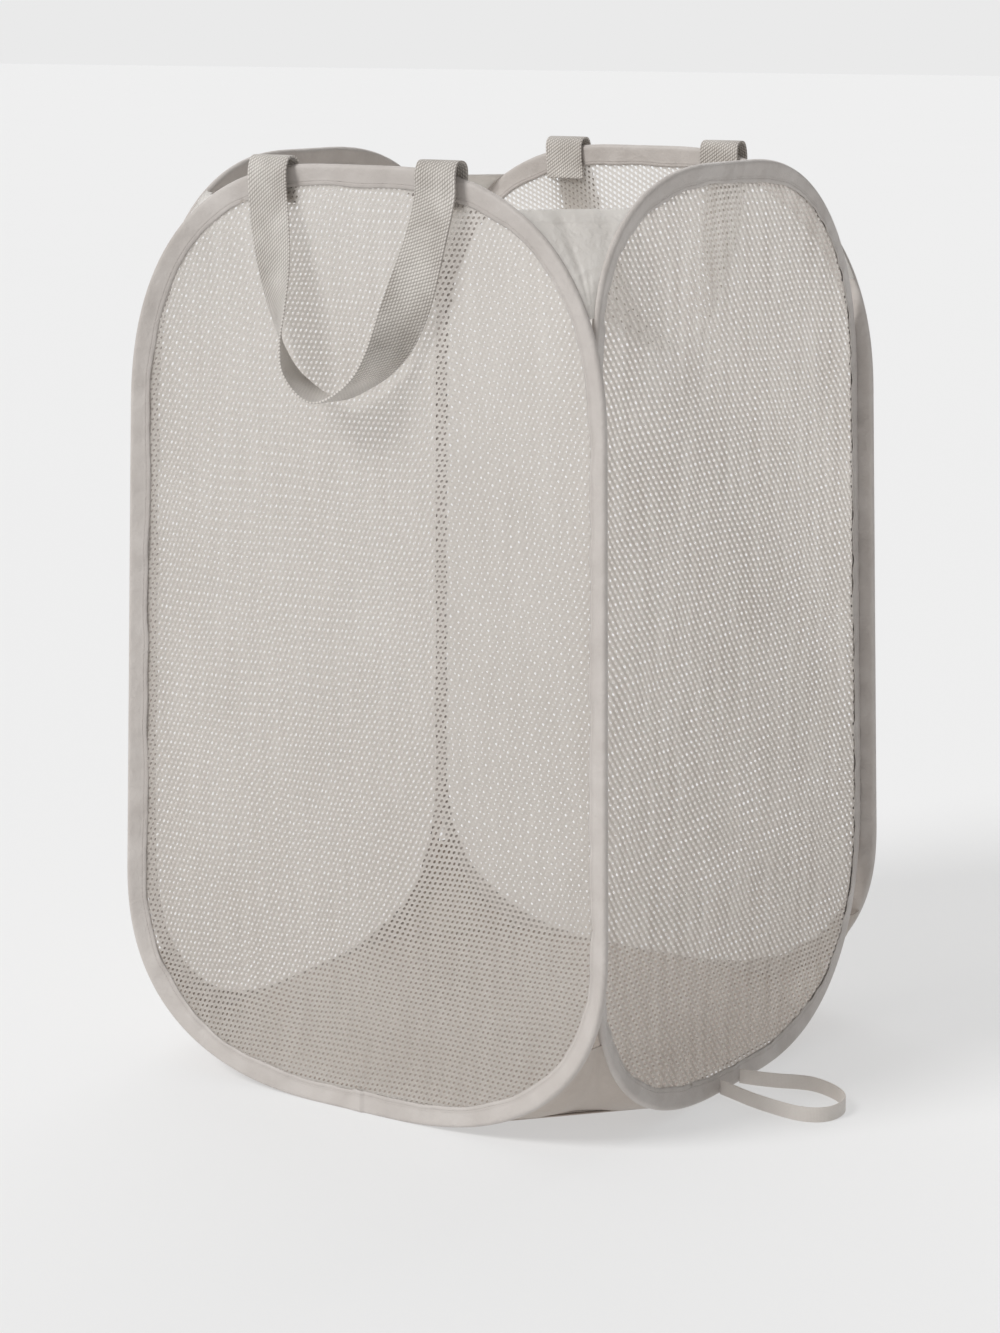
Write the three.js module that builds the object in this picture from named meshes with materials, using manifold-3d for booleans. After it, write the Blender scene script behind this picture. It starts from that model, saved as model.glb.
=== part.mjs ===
import * as THREE from 'three';
import loadManifold from 'manifold-3d';

// Pop up laundry hamper, standing open on its four bottom edges.
//
// Four mesh panels stand in a square and lean slightly towards the mouth. Round each panel runs a
// folded binding tape, and in the fold of the tape lies a hoop of flat spring steel, whose ends
// meet in a crimped sleeve. The panels are sewn together along their straight sides. Where the
// hoops turn away from each corner, a gusset of plain fabric closes the gap: one with a hem at
// the mouth, and one that runs down to the base. Two webbing handles hang over the front and the
// back edge, and a tape loop under the right panel holds the folded hamper shut.
//
// Frame: millimetres, +Z up, origin on the floor under the middle of the base. The front panel
// faces -Y and the right panel faces +X.
//
// Each panel is built flat in its own frame: x runs to the right as seen from outside, y runs up
// the panel from its lowest edge, and z points outwards from the middle of the mesh.

// Whole hamper
const FRONT_TO_BACK = 356;       // between the middles of those panels, at half height
const LEFT_TO_RIGHT = 349;
const PANEL_HEIGHT = 610;        // along the panel, from floor to top edge
const LEAN_SHARE = 0.02;         // how far a panel leans inwards for each unit of height
const CLEARANCE = 0.4;           // between pieces that are sewn or laid together
const FIT = 0.3;                 // between pieces that lie inside one another

// Spring steel hoop and the sleeve on its ends
const WIRE_WIDTH = 2.6;
const WIRE_THICKNESS = 0.8;
const WIRE_END_GAP = 0.6;
const SLEEVE_WALL = 0.4;
const SLEEVE_ROUND = 0.5;
const SLEEVE_LENGTH = 24;

// Mesh panel and the binding tape round it
const MESH_THICKNESS = 0.8;
const MESH_EDGE_INSET = 7;       // from the outer edge of the binding to the edge of the mesh
const MESH_COLUMNS = 5;          // coarse openings that stand for the holes of the mesh
const MESH_OPEN_SHARE = 0.5;     // of an opening in its column and in its row
const TAPE_THICKNESS = 0.5;
const TAPE_REACH = 14;           // how far the folded tape reaches over the mesh
const TAPE_END_GAP = 0.6;
const BEAD_ROUND = 1;            // bevel of the fold that holds the hoop
const BEAD_INNER_ROUND = 0.7;
const BEAD_TAPER = 2.2;          // stretch over which the tape narrows from hoop to mesh
const EDGE_PROUD = 12;           // how far front and back edges stand past the side panels
const FOOT_FLAT = 0.3;           // how deep the lowest edge is pressed flat by the floor

// Outline of the hoops. Each corner is a quarter of a superellipse: how far it reaches down or
// up the side, and its roundness, where 2 is an ellipse and more is squarer.
const FLAT_RUN = 44;             // straight middle of the top and the bottom edge
const OUTER_TOP_RISE = 165;
const OUTER_FOOT_RISE = 140;
const SIDE_NEAR_TOP_RISE = 112;
const SIDE_FAR_TOP_RISE = 158;
const SIDE_NEAR_FOOT_RISE = 128;
const SIDE_FAR_FOOT_RISE = 170;
const TOP_ROUNDNESS_SHARE = 2.35;
const FOOT_ROUNDNESS_SHARE = 2.4;
const STEPS_PER_CORNER = 9;

// Corner gussets and base
const GUSSET_THICKNESS = 1;
const GUSSET_TIP_WIDTH = 2.5;    // opening between the hoops at which a gusset begins
const GUSSET_HEM_DROP = 24;      // from the top edge of the panels down to the gusset's hem
const HEM_HEIGHT = 7;
const HEM_THICKNESS = 1.8;
const BASE_THICKNESS = 1.6;
const BASE_LIFT = 12;            // from the floor to the underside of the base

// Handles
const HANDLE_WIDTH = 30;
const HANDLE_THICKNESS = 1.6;
const HANDLE_SPACING = 128;      // between the middles of the two ends
const HANDLE_DROP = 143;         // from the sewn ends to the bottom of the loop
const HANDLE_SWAY = 11;          // how far the bottom of the loop hangs to the left
const HANDLE_STAND_OFF = 19;     // from the panel to the middle of the webbing at the bottom
const HANDLE_SEWN_LENGTH = 22;
const HANDLE_STEP = 4;           // over which the webbing steps from the tape up to the bead
const HANDLE_ARCH = 7;           // how high the webbing stands over the top edge
const HANDLE_LEG_OFFSET = 9;     // from the panel to the webbing where it starts to hang
const HANDLE_JOINT_GAP = 0.5;    // between a sewn end and the hanging loop
const HANDLE_STEPS = 40;

// Closure loop
const LOOP_TAPE_WIDTH = 10;
const LOOP_TAPE_THICKNESS = 1;
const LOOP_STEPS = 48;

// Sizes that follow from the ones above
const leanAngle = Math.atan(LEAN_SHARE);
const halfHeight = PANEL_HEIGHT / 2;
const wireHalf = WIRE_WIDTH / 2;
const sleeveHalf = wireHalf + FIT + SLEEVE_WALL;
const cavityHalf = sleeveHalf + FIT;
const beadHalf = cavityHalf + TAPE_THICKNESS;
const legInnerHalf = MESH_THICKNESS / 2 + FIT;
const legOuterHalf = legInnerHalf + TAPE_THICKNESS;
const wireDepth = TAPE_THICKNESS + FIT + SLEEVE_WALL + FIT;
const cavityDepth = wireDepth + WIRE_THICKNESS + FIT + SLEEVE_WALL + FIT;
const beadReach = cavityDepth + TAPE_THICKNESS + BEAD_TAPER;

const material = (color, roughness, metalness = 0) =>
  new THREE.MeshStandardMaterial({ color, roughness, metalness });

const manifold = await loadManifold();
manifold.setup();

const hamper = new THREE.Group();

function addMesh(parent, name, geometry, finish) {
  const mesh = new THREE.Mesh(geometry, finish);
  mesh.name = name;
  parent.add(mesh);
  return mesh;
}

// A closed body through rings of equally many points, with both ends capped. The first and the
// last ring are flat outlines, given once more in their own plane to triangulate them. Each face
// between two rings is split along its shorter diagonal, so that thin bodies stay even.
function loft(rings, capOutline) {
  const count = capOutline.length;
  const points = rings.flat();
  const positions = points.flatMap((p) => [p.x, p.y, p.z]);
  const index = [];
  for (let ring = 0; ring < rings.length - 1; ring += 1) {
    for (let k = 0; k < count; k += 1) {
      const a = ring * count + k;
      const b = ring * count + (k + 1) % count;
      const [c, d] = [a + count, b + count];
      if (points[a].distanceTo(points[d]) < points[b].distanceTo(points[c])) {
        index.push(a, b, d, a, d, c);
      } else {
        index.push(a, b, c, b, d, c);
      }
    }
  }
  const last = (rings.length - 1) * count;
  const clockwise = THREE.ShapeUtils.isClockWise(capOutline);
  for (const [a, b, c] of THREE.ShapeUtils.triangulateShape(capOutline, [])) {
    const [p, q, r] = clockwise ? [a, b, c] : [a, c, b];
    index.push(p, q, r);
    index.push(last + p, last + r, last + q);
  }
  const geometry = new THREE.BufferGeometry();
  geometry.setAttribute('position', new THREE.Float32BufferAttribute(positions, 3));
  geometry.setIndex(index);
  return facingOut(geometry);
}

// Turns every face round if the body's signed volume is negative.
function facingOut(geometry) {
  const position = geometry.getAttribute('position');
  const index = geometry.getIndex();
  const corner = [new THREE.Vector3(), new THREE.Vector3(), new THREE.Vector3()];
  let volume = 0;
  for (let i = 0; i < index.count; i += 3) {
    corner.forEach((p, k) => p.fromBufferAttribute(position, index.getX(i + k)));
    volume += corner[0].dot(corner[1].clone().cross(corner[2]));
  }
  if (volume < 0) {
    for (let i = 0; i < index.count; i += 3) {
      const kept = index.getX(i + 1);
      index.setX(i + 1, index.getX(i + 2));
      index.setX(i + 2, kept);
    }
  }
  geometry.computeVertexNormals();
  return geometry;
}

// Panel outline

// One corner from the middle of an edge to the side, as [x, y] with x to the right.
function cornerPoints(halfWidthAt, rise, roundness, atTop) {
  const points = [];
  const flat = FLAT_RUN / 2;
  for (let step = 0; step <= STEPS_PER_CORNER; step += 1) {
    const turn = step / STEPS_PER_CORNER * Math.PI / 2;
    const across = Math.sin(turn) ** (2 / roundness);
    const climb = rise * (1 - Math.cos(turn) ** (2 / roundness));
    const y = atTop ? PANEL_HEIGHT - climb : climb;
    points.push([flat + (halfWidthAt(y) - flat) * across, y]);
  }
  return points;
}

// The outer edge of a hoop, counter-clockwise from the right of its bottom joint to the left.
function hoopOutline(shape) {
  const { halfWidthAt } = shape;
  const mirrored = (points) => points.map(([x, y]) => [-x, y]);
  const footRight = cornerPoints(halfWidthAt, shape.footRight, FOOT_ROUNDNESS_SHARE, false);
  const topRight = cornerPoints(halfWidthAt, shape.topRight, TOP_ROUNDNESS_SHARE, true);
  const topLeft = cornerPoints(halfWidthAt, shape.topLeft, TOP_ROUNDNESS_SHARE, true);
  const footLeft = cornerPoints(halfWidthAt, shape.footLeft, FOOT_ROUNDNESS_SHARE, false);
  return [
    [0, 0],
    ...footRight,
    ...topRight.reverse(),
    ...mirrored(topLeft),
    ...mirrored(footLeft).reverse(),
    [0, 0],
  ].map(([x, y]) => new THREE.Vector2(x, y));
}

// Unit normals of an outline that point into the panel.
function inwardNormals(outline) {
  return outline.map((_, i) => {
    const before = outline[Math.max(i - 1, 0)];
    const after = outline[Math.min(i + 1, outline.length - 1)];
    const along = after.clone().sub(before);
    return new THREE.Vector2(-along.y, along.x).normalize();
  });
}

// The outline moved into the panel by a depth, or out of it where the depth is negative. The two
// ends are drawn apart by a gap.
function insetOutline(outline, depth, gap = 0) {
  const normals = inwardNormals(outline);
  const points = outline.map((p, i) => p.clone().addScaledVector(normals[i], depth));
  points[0].x += gap / 2;
  points[points.length - 1].x -= gap / 2;
  return points;
}

// A section of [depth into the panel, height off its middle] carried along an outline. The floor
// presses the lowest edge flat.
function sweepRound(outline, section, gap) {
  const rails = section.map(([depth]) => insetOutline(outline, depth, gap));
  const rings = outline.map((_, i) => section.map(([, off], k) => {
    const { x, y } = rails[k][i];
    const floor = (FOOT_FLAT - off * Math.sin(leanAngle)) / Math.cos(leanAngle);
    return new THREE.Vector3(x, Math.max(y, floor), off);
  }));
  return loft(rings, section.map(([depth, off]) => new THREE.Vector2(depth, off)));
}

const bindingSection = (() => {
  const outer = [
    [0, beadHalf - BEAD_ROUND],
    [BEAD_ROUND, beadHalf],
    [cavityDepth + TAPE_THICKNESS, beadHalf],
    [beadReach, legOuterHalf],
    [TAPE_REACH, legOuterHalf],
  ];
  const inner = [
    [TAPE_REACH, legInnerHalf],
    [cavityDepth + BEAD_TAPER, legInnerHalf],
    [cavityDepth, cavityHalf],
    [TAPE_THICKNESS + BEAD_INNER_ROUND, cavityHalf],
    [TAPE_THICKNESS, cavityHalf - BEAD_INNER_ROUND],
  ];
  const half = [...outer, ...inner];
  return [...half, ...half.map(([depth, off]) => [depth, -off]).reverse()];
})();

const wireSection = [
  [wireDepth, -wireHalf],
  [wireDepth, wireHalf],
  [wireDepth + WIRE_THICKNESS, wireHalf],
  [wireDepth + WIRE_THICKNESS, -wireHalf],
];

function sleeveGeometry() {
  const bore = { half: wireHalf + FIT, low: wireDepth - FIT, high: wireDepth + WIRE_THICKNESS + FIT };
  const low = bore.low - SLEEVE_WALL;
  const high = bore.high + SLEEVE_WALL;
  const shape = new THREE.Shape([
    [-sleeveHalf + SLEEVE_ROUND, low],
    [sleeveHalf - SLEEVE_ROUND, low],
    [sleeveHalf, low + SLEEVE_ROUND],
    [sleeveHalf, high - SLEEVE_ROUND],
    [sleeveHalf - SLEEVE_ROUND, high],
    [-sleeveHalf + SLEEVE_ROUND, high],
    [-sleeveHalf, high - SLEEVE_ROUND],
    [-sleeveHalf, low + SLEEVE_ROUND],
  ].map(([x, y]) => new THREE.Vector2(x, y)));
  shape.holes.push(new THREE.Path([
    [-bore.half, bore.low],
    [-bore.half, bore.high],
    [bore.half, bore.high],
    [bore.half, bore.low],
  ].map(([x, y]) => new THREE.Vector2(x, y))));
  const options = { depth: SLEEVE_LENGTH, bevelEnabled: false };
  return new THREE.ExtrudeGeometry(shape, options)
    .translate(0, 0, -SLEEVE_LENGTH / 2)
    .rotateY(Math.PI / 2);
}

// Panels

// From the middle of the hamper to the middle of a panel, at a height.
const spreadAt = (between, y) => between / 2 + LEAN_SHARE * (halfHeight - y);
const outerHalfWidth = (y) => spreadAt(LEFT_TO_RIGHT, y) + EDGE_PROUD;
const sideHalfWidth = (y) => spreadAt(FRONT_TO_BACK, y) - beadHalf - CLEARANCE;
const outerShape = {
  between: FRONT_TO_BACK,
  halfWidthAt: outerHalfWidth,
  proud: EDGE_PROUD,
  topLeft: OUTER_TOP_RISE,
  topRight: OUTER_TOP_RISE,
  footLeft: OUTER_FOOT_RISE,
  footRight: OUTER_FOOT_RISE,
};
const sideShape = {
  between: LEFT_TO_RIGHT,
  halfWidthAt: sideHalfWidth,
  proud: 0,
  topLeft: SIDE_NEAR_TOP_RISE,
  topRight: SIDE_FAR_TOP_RISE,
  footLeft: SIDE_NEAR_FOOT_RISE,
  footRight: SIDE_FAR_FOOT_RISE,
};

function makePanel(name, quarterTurns, shape) {
  const frame = new THREE.Group();
  const turn = new THREE.Matrix4().makeRotationZ(quarterTurns * Math.PI / 2);
  const stand = new THREE.Matrix4().makeRotationX(Math.PI / 2 - leanAngle);
  const place = new THREE.Matrix4().makeTranslation(0, -spreadAt(shape.between, 0), -FOOT_FLAT);
  frame.applyMatrix4(turn.multiply(place).multiply(stand));
  frame.updateMatrix();
  hamper.add(frame);
  return { name, frame, outline: hoopOutline(shape), ...shape };
}

const panels = {
  front: makePanel('front', 0, outerShape),
  right: makePanel('right', 1, sideShape),
  back: makePanel('back', 2, outerShape),
  left: makePanel('left', 3, sideShape),
};

// A place on a panel, in the frame of the whole hamper.
const onPanel = (panel, x, y, z) => new THREE.Vector3(x, y, z).applyMatrix4(panel.frame.matrix);

// One side of a panel's outer edge, moved out by a gap, from the bottom up.
const sideEdge = (panel, onRight, gap) => insetOutline(panel.outline, -gap)
  .filter((p) => (onRight ? p.x > 0 : p.x < 0))
  .sort((a, b) => a.y - b.y);

// How far across the panel that side is at a height.
function edgeAt(panel, y, onRight, gap) {
  const edge = sideEdge(panel, onRight, gap);
  const above = edge.findIndex((p) => p.y >= y);
  const [low, high] = [edge[above - 1], edge[above]];
  return low.x + (high.x - low.x) * (y - low.y) / (high.y - low.y);
}

// Openings in even columns and rows, where the binding tape leaves all of an opening free.
function meshOpenings(panel) {
  const freeAt = (y, onRight) => Math.abs(edgeAt(panel, y, onRight, -TAPE_REACH));
  const wide = 2 * freeAt(halfHeight, true);
  const pitch = wide / MESH_COLUMNS;
  const rows = Math.floor((PANEL_HEIGHT - TAPE_REACH * 2) / pitch);
  const halfOpen = pitch * MESH_OPEN_SHARE / 2;
  const openings = [];
  for (let row = 0; row < rows; row += 1) {
    const y = halfHeight + (row + 0.5 - rows / 2) * pitch;
    for (let column = 0; column < MESH_COLUMNS; column += 1) {
      const x = (column + 0.5) * pitch - wide / 2;
      const corners = [[-1, -1], [1, -1], [1, 1], [-1, 1]]
        .map(([right, up]) => new THREE.Vector2(x + right * halfOpen, y + up * halfOpen));
      if (corners.every((p) => Math.abs(p.x) < freeAt(p.y, p.x > 0))) {
        openings.push(corners);
      }
    }
  }
  return openings;
}

function meshGeometry(panel) {
  const edge = insetOutline(panel.outline, MESH_EDGE_INSET);
  edge.pop();
  const outlines = [edge, ...meshOpenings(panel)].map((line) => line.map((p) => [p.x, p.y]));
  const sheet = manifold.Manifold
    .extrude(new manifold.CrossSection(outlines, 'EvenOdd'), MESH_THICKNESS)
    .getMesh();
  const geometry = new THREE.BufferGeometry();
  geometry.setAttribute('position', new THREE.BufferAttribute(sheet.vertProperties, 3));
  geometry.setIndex(new THREE.BufferAttribute(sheet.triVerts, 1));
  geometry.translate(0, 0, -MESH_THICKNESS / 2);
  return facingOut(geometry);
}

for (const panel of Object.values(panels)) {
  const { name, frame, outline } = panel;
  addMesh(frame, `${name}_hoop_wire`, sweepRound(outline, wireSection, WIRE_END_GAP),
    material(0x8d8f92, 0.35, 0.9));
  addMesh(frame, `${name}_wire_sleeve`, sleeveGeometry(), material(0x9a9894, 0.4, 0.85));
  addMesh(frame, `${name}_binding`, sweepRound(outline, bindingSection, TAPE_END_GAP),
    material(0xbab5b0, 0.8));
  addMesh(frame, `${name}_mesh`, meshGeometry(panel), material(0xcdcac5, 0.75));
}

// Corner gussets

const gussetGap = CLEARANCE + GUSSET_THICKNESS / 2;

// How far both hoops of a corner have turned away from it at a height. A front or back hoop has
// turned away once it is past the middle of the side panel.
function openingAt(corner, y) {
  const turned = (panel, onRight) => (
    panel.halfWidthAt(y) - panel.proud - Math.abs(edgeAt(panel, y, onRight, 0))
  );
  return Math.min(turned(corner.before, true), turned(corner.after, false));
}

// The height between two levels at which a corner has opened by the width of a gusset's tip.
function tipHeight(corner, closedAt, openAt) {
  let [closed, open] = [closedAt, openAt];
  for (let halving = 0; halving < 30; halving += 1) {
    const middle = (closed + open) / 2;
    if (openingAt(corner, middle) < GUSSET_TIP_WIDTH) {
      closed = middle;
    } else {
      open = middle;
    }
  }
  return open;
}

// A gusset as a run of level slices between the two hoops of a corner, each given as a height and
// a thickness. The slices go from the tip to the far edge, and a hem adds its thickness inside.
function gussetGeometry(corner, slices) {
  const rings = slices.map(([y, thickness]) => {
    const start = onPanel(corner.before, edgeAt(corner.before, y, true, gussetGap), y, 0);
    const end = onPanel(corner.after, edgeAt(corner.after, y, false, gussetGap), y, 0);
    const out = end.clone().sub(start).cross(new THREE.Vector3(0, 0, 1)).normalize();
    const outside = out.clone().multiplyScalar(GUSSET_THICKNESS / 2);
    const inside = out.clone().multiplyScalar(GUSSET_THICKNESS / 2 - thickness);
    return [
      start.clone().add(outside),
      end.clone().add(outside),
      end.clone().add(inside),
      start.clone().add(inside),
    ];
  });
  const cap = [[0, 0], [1, 0], [1, 1], [0, 1]].map(([x, y]) => new THREE.Vector2(x, y));
  return loft(rings, cap);
}

// The levels of a gusset's slices: its tip, each bend of its two sides, and its far edge.
function levelsBetween(corner, tip, edge) {
  const sides = [
    ...sideEdge(corner.before, true, gussetGap),
    ...sideEdge(corner.after, false, gussetGap),
  ];
  const levels = [tip];
  const [low, high] = [Math.min(tip, edge), Math.max(tip, edge)];
  const bends = sides.map((p) => p.y).filter((y) => low < y && y < high - GUSSET_THICKNESS);
  bends.sort((a, b) => Math.abs(a - tip) - Math.abs(b - tip));
  for (const y of bends) {
    if (Math.abs(y - levels[levels.length - 1]) > GUSSET_THICKNESS * 2) {
      levels.push(y);
    }
  }
  return [...levels, edge];
}

const corners = {
  front_right: { before: panels.front, after: panels.right },
  back_right: { before: panels.right, after: panels.back },
  back_left: { before: panels.back, after: panels.left },
  front_left: { before: panels.left, after: panels.front },
};
const hemTop = PANEL_HEIGHT - GUSSET_HEM_DROP;
const baseTop = BASE_LIFT + BASE_THICKNESS + FOOT_FLAT;
const fabric = () => material(0xc9c6c1, 0.6);

for (const [name, corner] of Object.entries(corners)) {
  const hemStart = hemTop - HEM_HEIGHT;
  const footEdge = baseTop + CLEARANCE;
  const upper = levelsBetween(corner, tipHeight(corner, halfHeight, hemStart), hemStart);
  const lower = levelsBetween(corner, tipHeight(corner, halfHeight, footEdge), footEdge);
  const plain = (heights) => heights.map((y) => [y, GUSSET_THICKNESS]);
  const hem = [[hemStart, HEM_THICKNESS], [hemTop, HEM_THICKNESS]];
  addMesh(hamper, `top_gusset_${name}`, gussetGeometry(corner, [...plain(upper), ...hem]), fabric());
  addMesh(hamper, `bottom_gusset_${name}`, gussetGeometry(corner, plain(lower)), fabric());
}

// Base

function baseGeometry() {
  const inner = -(beadHalf + CLEARANCE);
  const points = Object.values(corners).flatMap(({ before, after }) => [
    onPanel(before, edgeAt(before, baseTop, true, 0), baseTop, inner),
    onPanel(after, edgeAt(after, baseTop, false, 0), baseTop, inner),
  ]);
  const outline = points.map((p) => new THREE.Vector2(p.x, p.y));
  const options = { depth: BASE_THICKNESS, bevelEnabled: false };
  return new THREE.ExtrudeGeometry(new THREE.Shape(outline), options).translate(0, 0, BASE_LIFT);
}

addMesh(hamper, 'base_panel', baseGeometry(), material(0xbdb5ae, 0.7));

// Handles

// Flat webbing along points, with its width along a direction given for each step.
function webbing(points, widthDirectionAt, width, thickness, steps) {
  const curve = new THREE.CatmullRomCurve3(points, false, 'centripetal');
  const rings = Array.from({ length: steps + 1 }, (_, step) => {
    const share = step / steps;
    const middle = curve.getPointAt(share);
    const along = curve.getTangentAt(share);
    const across = widthDirectionAt(share);
    across.addScaledVector(along, -across.dot(along)).normalize();
    const face = along.clone().cross(across).multiplyScalar(thickness / 2);
    across.multiplyScalar(width / 2);
    return [
      middle.clone().add(across).add(face),
      middle.clone().sub(across).add(face),
      middle.clone().sub(across).sub(face),
      middle.clone().add(across).sub(face),
    ];
  });
  const cap = [[1, 1], [0, 1], [0, 0], [1, 0]].map(([x, y]) => new THREE.Vector2(x, y));
  return loft(rings, cap);
}

const half = HANDLE_THICKNESS / 2;
const overLeg = legOuterHalf + CLEARANCE + half;
const overBead = beadHalf + CLEARANCE + half;
const jointOff = half * 2;

// The height of a panel's top edge at a place right of its middle.
function topEdgeAt(panel, x) {
  const right = panel.outline.filter((p) => p.x >= 0 && p.y > halfHeight);
  const inner = right.findIndex((p) => p.x <= x);
  const [outside, inside] = [right[inner - 1], right[inner]];
  return inside.y + (outside.y - inside.y) * (x - inside.x) / (outside.x - inside.x);
}

// The top edge under a handle's end: at the middle of the webbing and at its two sides.
function edgeUnderHandle(panel) {
  const reach = HANDLE_SPACING / 2;
  return {
    height: topEdgeAt(panel, reach),
    high: topEdgeAt(panel, reach - HANDLE_WIDTH / 2),
    low: topEdgeAt(panel, reach + HANDLE_WIDTH / 2),
  };
}

// A sewn end runs up the inside of the panel, steps over the bead and arches over the edge.
function handleEndGeometry(edge, side) {
  const x = side * HANDLE_SPACING / 2;
  const arch = edge.height + HANDLE_ARCH;
  const bead = edge.low - beadReach;
  const climb = [
    [edge.height - HANDLE_SEWN_LENGTH, -overLeg],
    [bead - HANDLE_STEP * 2, -overLeg],
    [bead - HANDLE_STEP, -(overLeg * 3 + overBead) / 4],
    [bead, -(overLeg + overBead * 3) / 4],
    [bead + HANDLE_STEP, -overBead],
    [edge.high, -overBead],
    [edge.height + HANDLE_ARCH * 3 / 4, -overBead * 2 / 3],
    [arch, -half],
    [arch, jointOff - HANDLE_JOINT_GAP],
  ];
  const points = climb.map(([y, z]) => new THREE.Vector3(x, y, z));
  const across = () => new THREE.Vector3(1, 0, 0);
  return webbing(points, across, HANDLE_WIDTH, HANDLE_THICKNESS, HANDLE_STEPS / 2);
}

// The hanging loop leaves the edge flat to the panel. Each leg turns a quarter on its way down,
// so that the webbing passes through the bottom of the loop with its width square to the panel.
function handleGeometry(edge) {
  const reach = HANDLE_SPACING / 2;
  const hangShares = [
    [-1, 0.09, 0.47],
    [-0.94, 0.25, 0.54],
    [-0.85, 0.43, 0.63],
    [-0.75, 0.61, 0.74],
    [-0.63, 0.77, 0.85],
    [-0.43, 0.9, 0.94],
    [0, 1, 1],
    [0.43, 0.9, 0.94],
    [0.63, 0.77, 0.85],
    [0.75, 0.61, 0.74],
    [0.85, 0.43, 0.63],
    [0.94, 0.25, 0.54],
    [1, 0.09, 0.47],
  ];
  const arch = edge.height + HANDLE_ARCH;
  const start = [
    new THREE.Vector3(-reach, arch, jointOff),
    new THREE.Vector3(-reach, arch - half, HANDLE_LEG_OFFSET * 2 / 3),
    new THREE.Vector3(-reach, edge.height, HANDLE_LEG_OFFSET),
  ];
  const hang = hangShares.map(([across, down, off]) => new THREE.Vector3(
    reach * across - HANDLE_SWAY * down ** 2,
    edge.height - HANDLE_DROP * down,
    HANDLE_STAND_OFF * off,
  ));
  const finish = start.map((p) => new THREE.Vector3(-p.x, p.y, p.z)).reverse();
  const widthDirectionAt = (share) => {
    const turned = THREE.MathUtils.smoothstep(share, 0.08, 0.46)
      + THREE.MathUtils.smoothstep(share, 0.54, 0.92);
    const angle = turned * Math.PI / 2;
    return new THREE.Vector3(Math.cos(angle), 0, Math.sin(angle));
  };
  return webbing([...start, ...hang, ...finish], widthDirectionAt,
    HANDLE_WIDTH, HANDLE_THICKNESS, HANDLE_STEPS);
}

const strap = () => material(0xbfb9b2, 0.85);

for (const panel of [panels.front, panels.back]) {
  const edge = edgeUnderHandle(panel);
  addMesh(panel.frame, `${panel.name}_handle_end_left`, handleEndGeometry(edge, -1), strap());
  addMesh(panel.frame, `${panel.name}_handle_end_right`, handleEndGeometry(edge, 1), strap());
  addMesh(panel.frame, `${panel.name}_handle`, handleGeometry(edge), strap());
}

// Closure loop, which lies on the floor on its lower edge. Its route is laid out by hand: how far
// it is from the foot of the right panel, and how far along it.
const loopRoute = [
  [0, -28], [14, -33], [28, -38], [42, -41.5], [56, -44], [68, -44.5], [78, -41], [84, -33],
  [86, -22], [84, -10], [78, 0], [69, 8], [58, 14], [48, 16.5], [38, 14], [28, 8.5], [18, 4.5],
  [9, 2.5], [0, 2],
];

function closureLoopGeometry() {
  const foot = spreadAt(LEFT_TO_RIGHT, 0) + beadHalf + CLEARANCE;
  const points = loopRoute.map(([out, along]) => (
    new THREE.Vector3(foot + out, along, LOOP_TAPE_WIDTH / 2)
  ));
  const up = () => new THREE.Vector3(0, 0, 1);
  return webbing(points, up, LOOP_TAPE_WIDTH, LOOP_TAPE_THICKNESS, LOOP_STEPS);
}

addMesh(hamper, 'closure_loop', closureLoopGeometry(), material(0xb8b0a9, 0.85));

export default hamper;
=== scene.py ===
"""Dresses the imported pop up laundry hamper: nets, bindings, gussets, base, webbing and light."""

from __future__ import annotations

import logging
import math
from dataclasses import dataclass, replace
from enum import Enum

import bpy
import numpy as np
from bpy.types import Material, Node, NodeSocket, NodeTree, Object
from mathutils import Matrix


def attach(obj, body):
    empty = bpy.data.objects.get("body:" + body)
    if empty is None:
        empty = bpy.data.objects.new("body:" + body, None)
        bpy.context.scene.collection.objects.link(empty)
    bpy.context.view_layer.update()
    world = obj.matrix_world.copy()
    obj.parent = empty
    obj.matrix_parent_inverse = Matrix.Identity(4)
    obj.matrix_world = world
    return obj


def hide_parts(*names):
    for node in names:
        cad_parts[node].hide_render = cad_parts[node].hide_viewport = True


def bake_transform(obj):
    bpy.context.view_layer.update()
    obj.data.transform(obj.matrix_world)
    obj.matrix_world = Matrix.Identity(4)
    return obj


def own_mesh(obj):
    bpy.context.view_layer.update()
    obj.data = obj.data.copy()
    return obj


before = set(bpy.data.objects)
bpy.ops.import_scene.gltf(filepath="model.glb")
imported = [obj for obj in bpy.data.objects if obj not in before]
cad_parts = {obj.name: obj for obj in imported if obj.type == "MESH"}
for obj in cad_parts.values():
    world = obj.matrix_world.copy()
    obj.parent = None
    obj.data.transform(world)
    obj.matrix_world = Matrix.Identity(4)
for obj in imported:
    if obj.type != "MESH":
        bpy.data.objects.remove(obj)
LOG = logging.getLogger("hamper")
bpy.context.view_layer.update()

Array = np.ndarray
Pair = tuple[float, float]
Colour = tuple[float, float, float]


class Side(Enum):
    """The four panels, each with its quarter turns from the front."""

    FRONT = 0
    RIGHT = 1
    BACK = 2
    LEFT = 3

    @property
    def word(self) -> str:
        """The side's name as the bodies and nodes spell it."""
        return self.name.lower()

    @property
    def after(self) -> Side:
        """The side a quarter turn further on."""
        return Side((self.value + 1) % len(Side))


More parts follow.
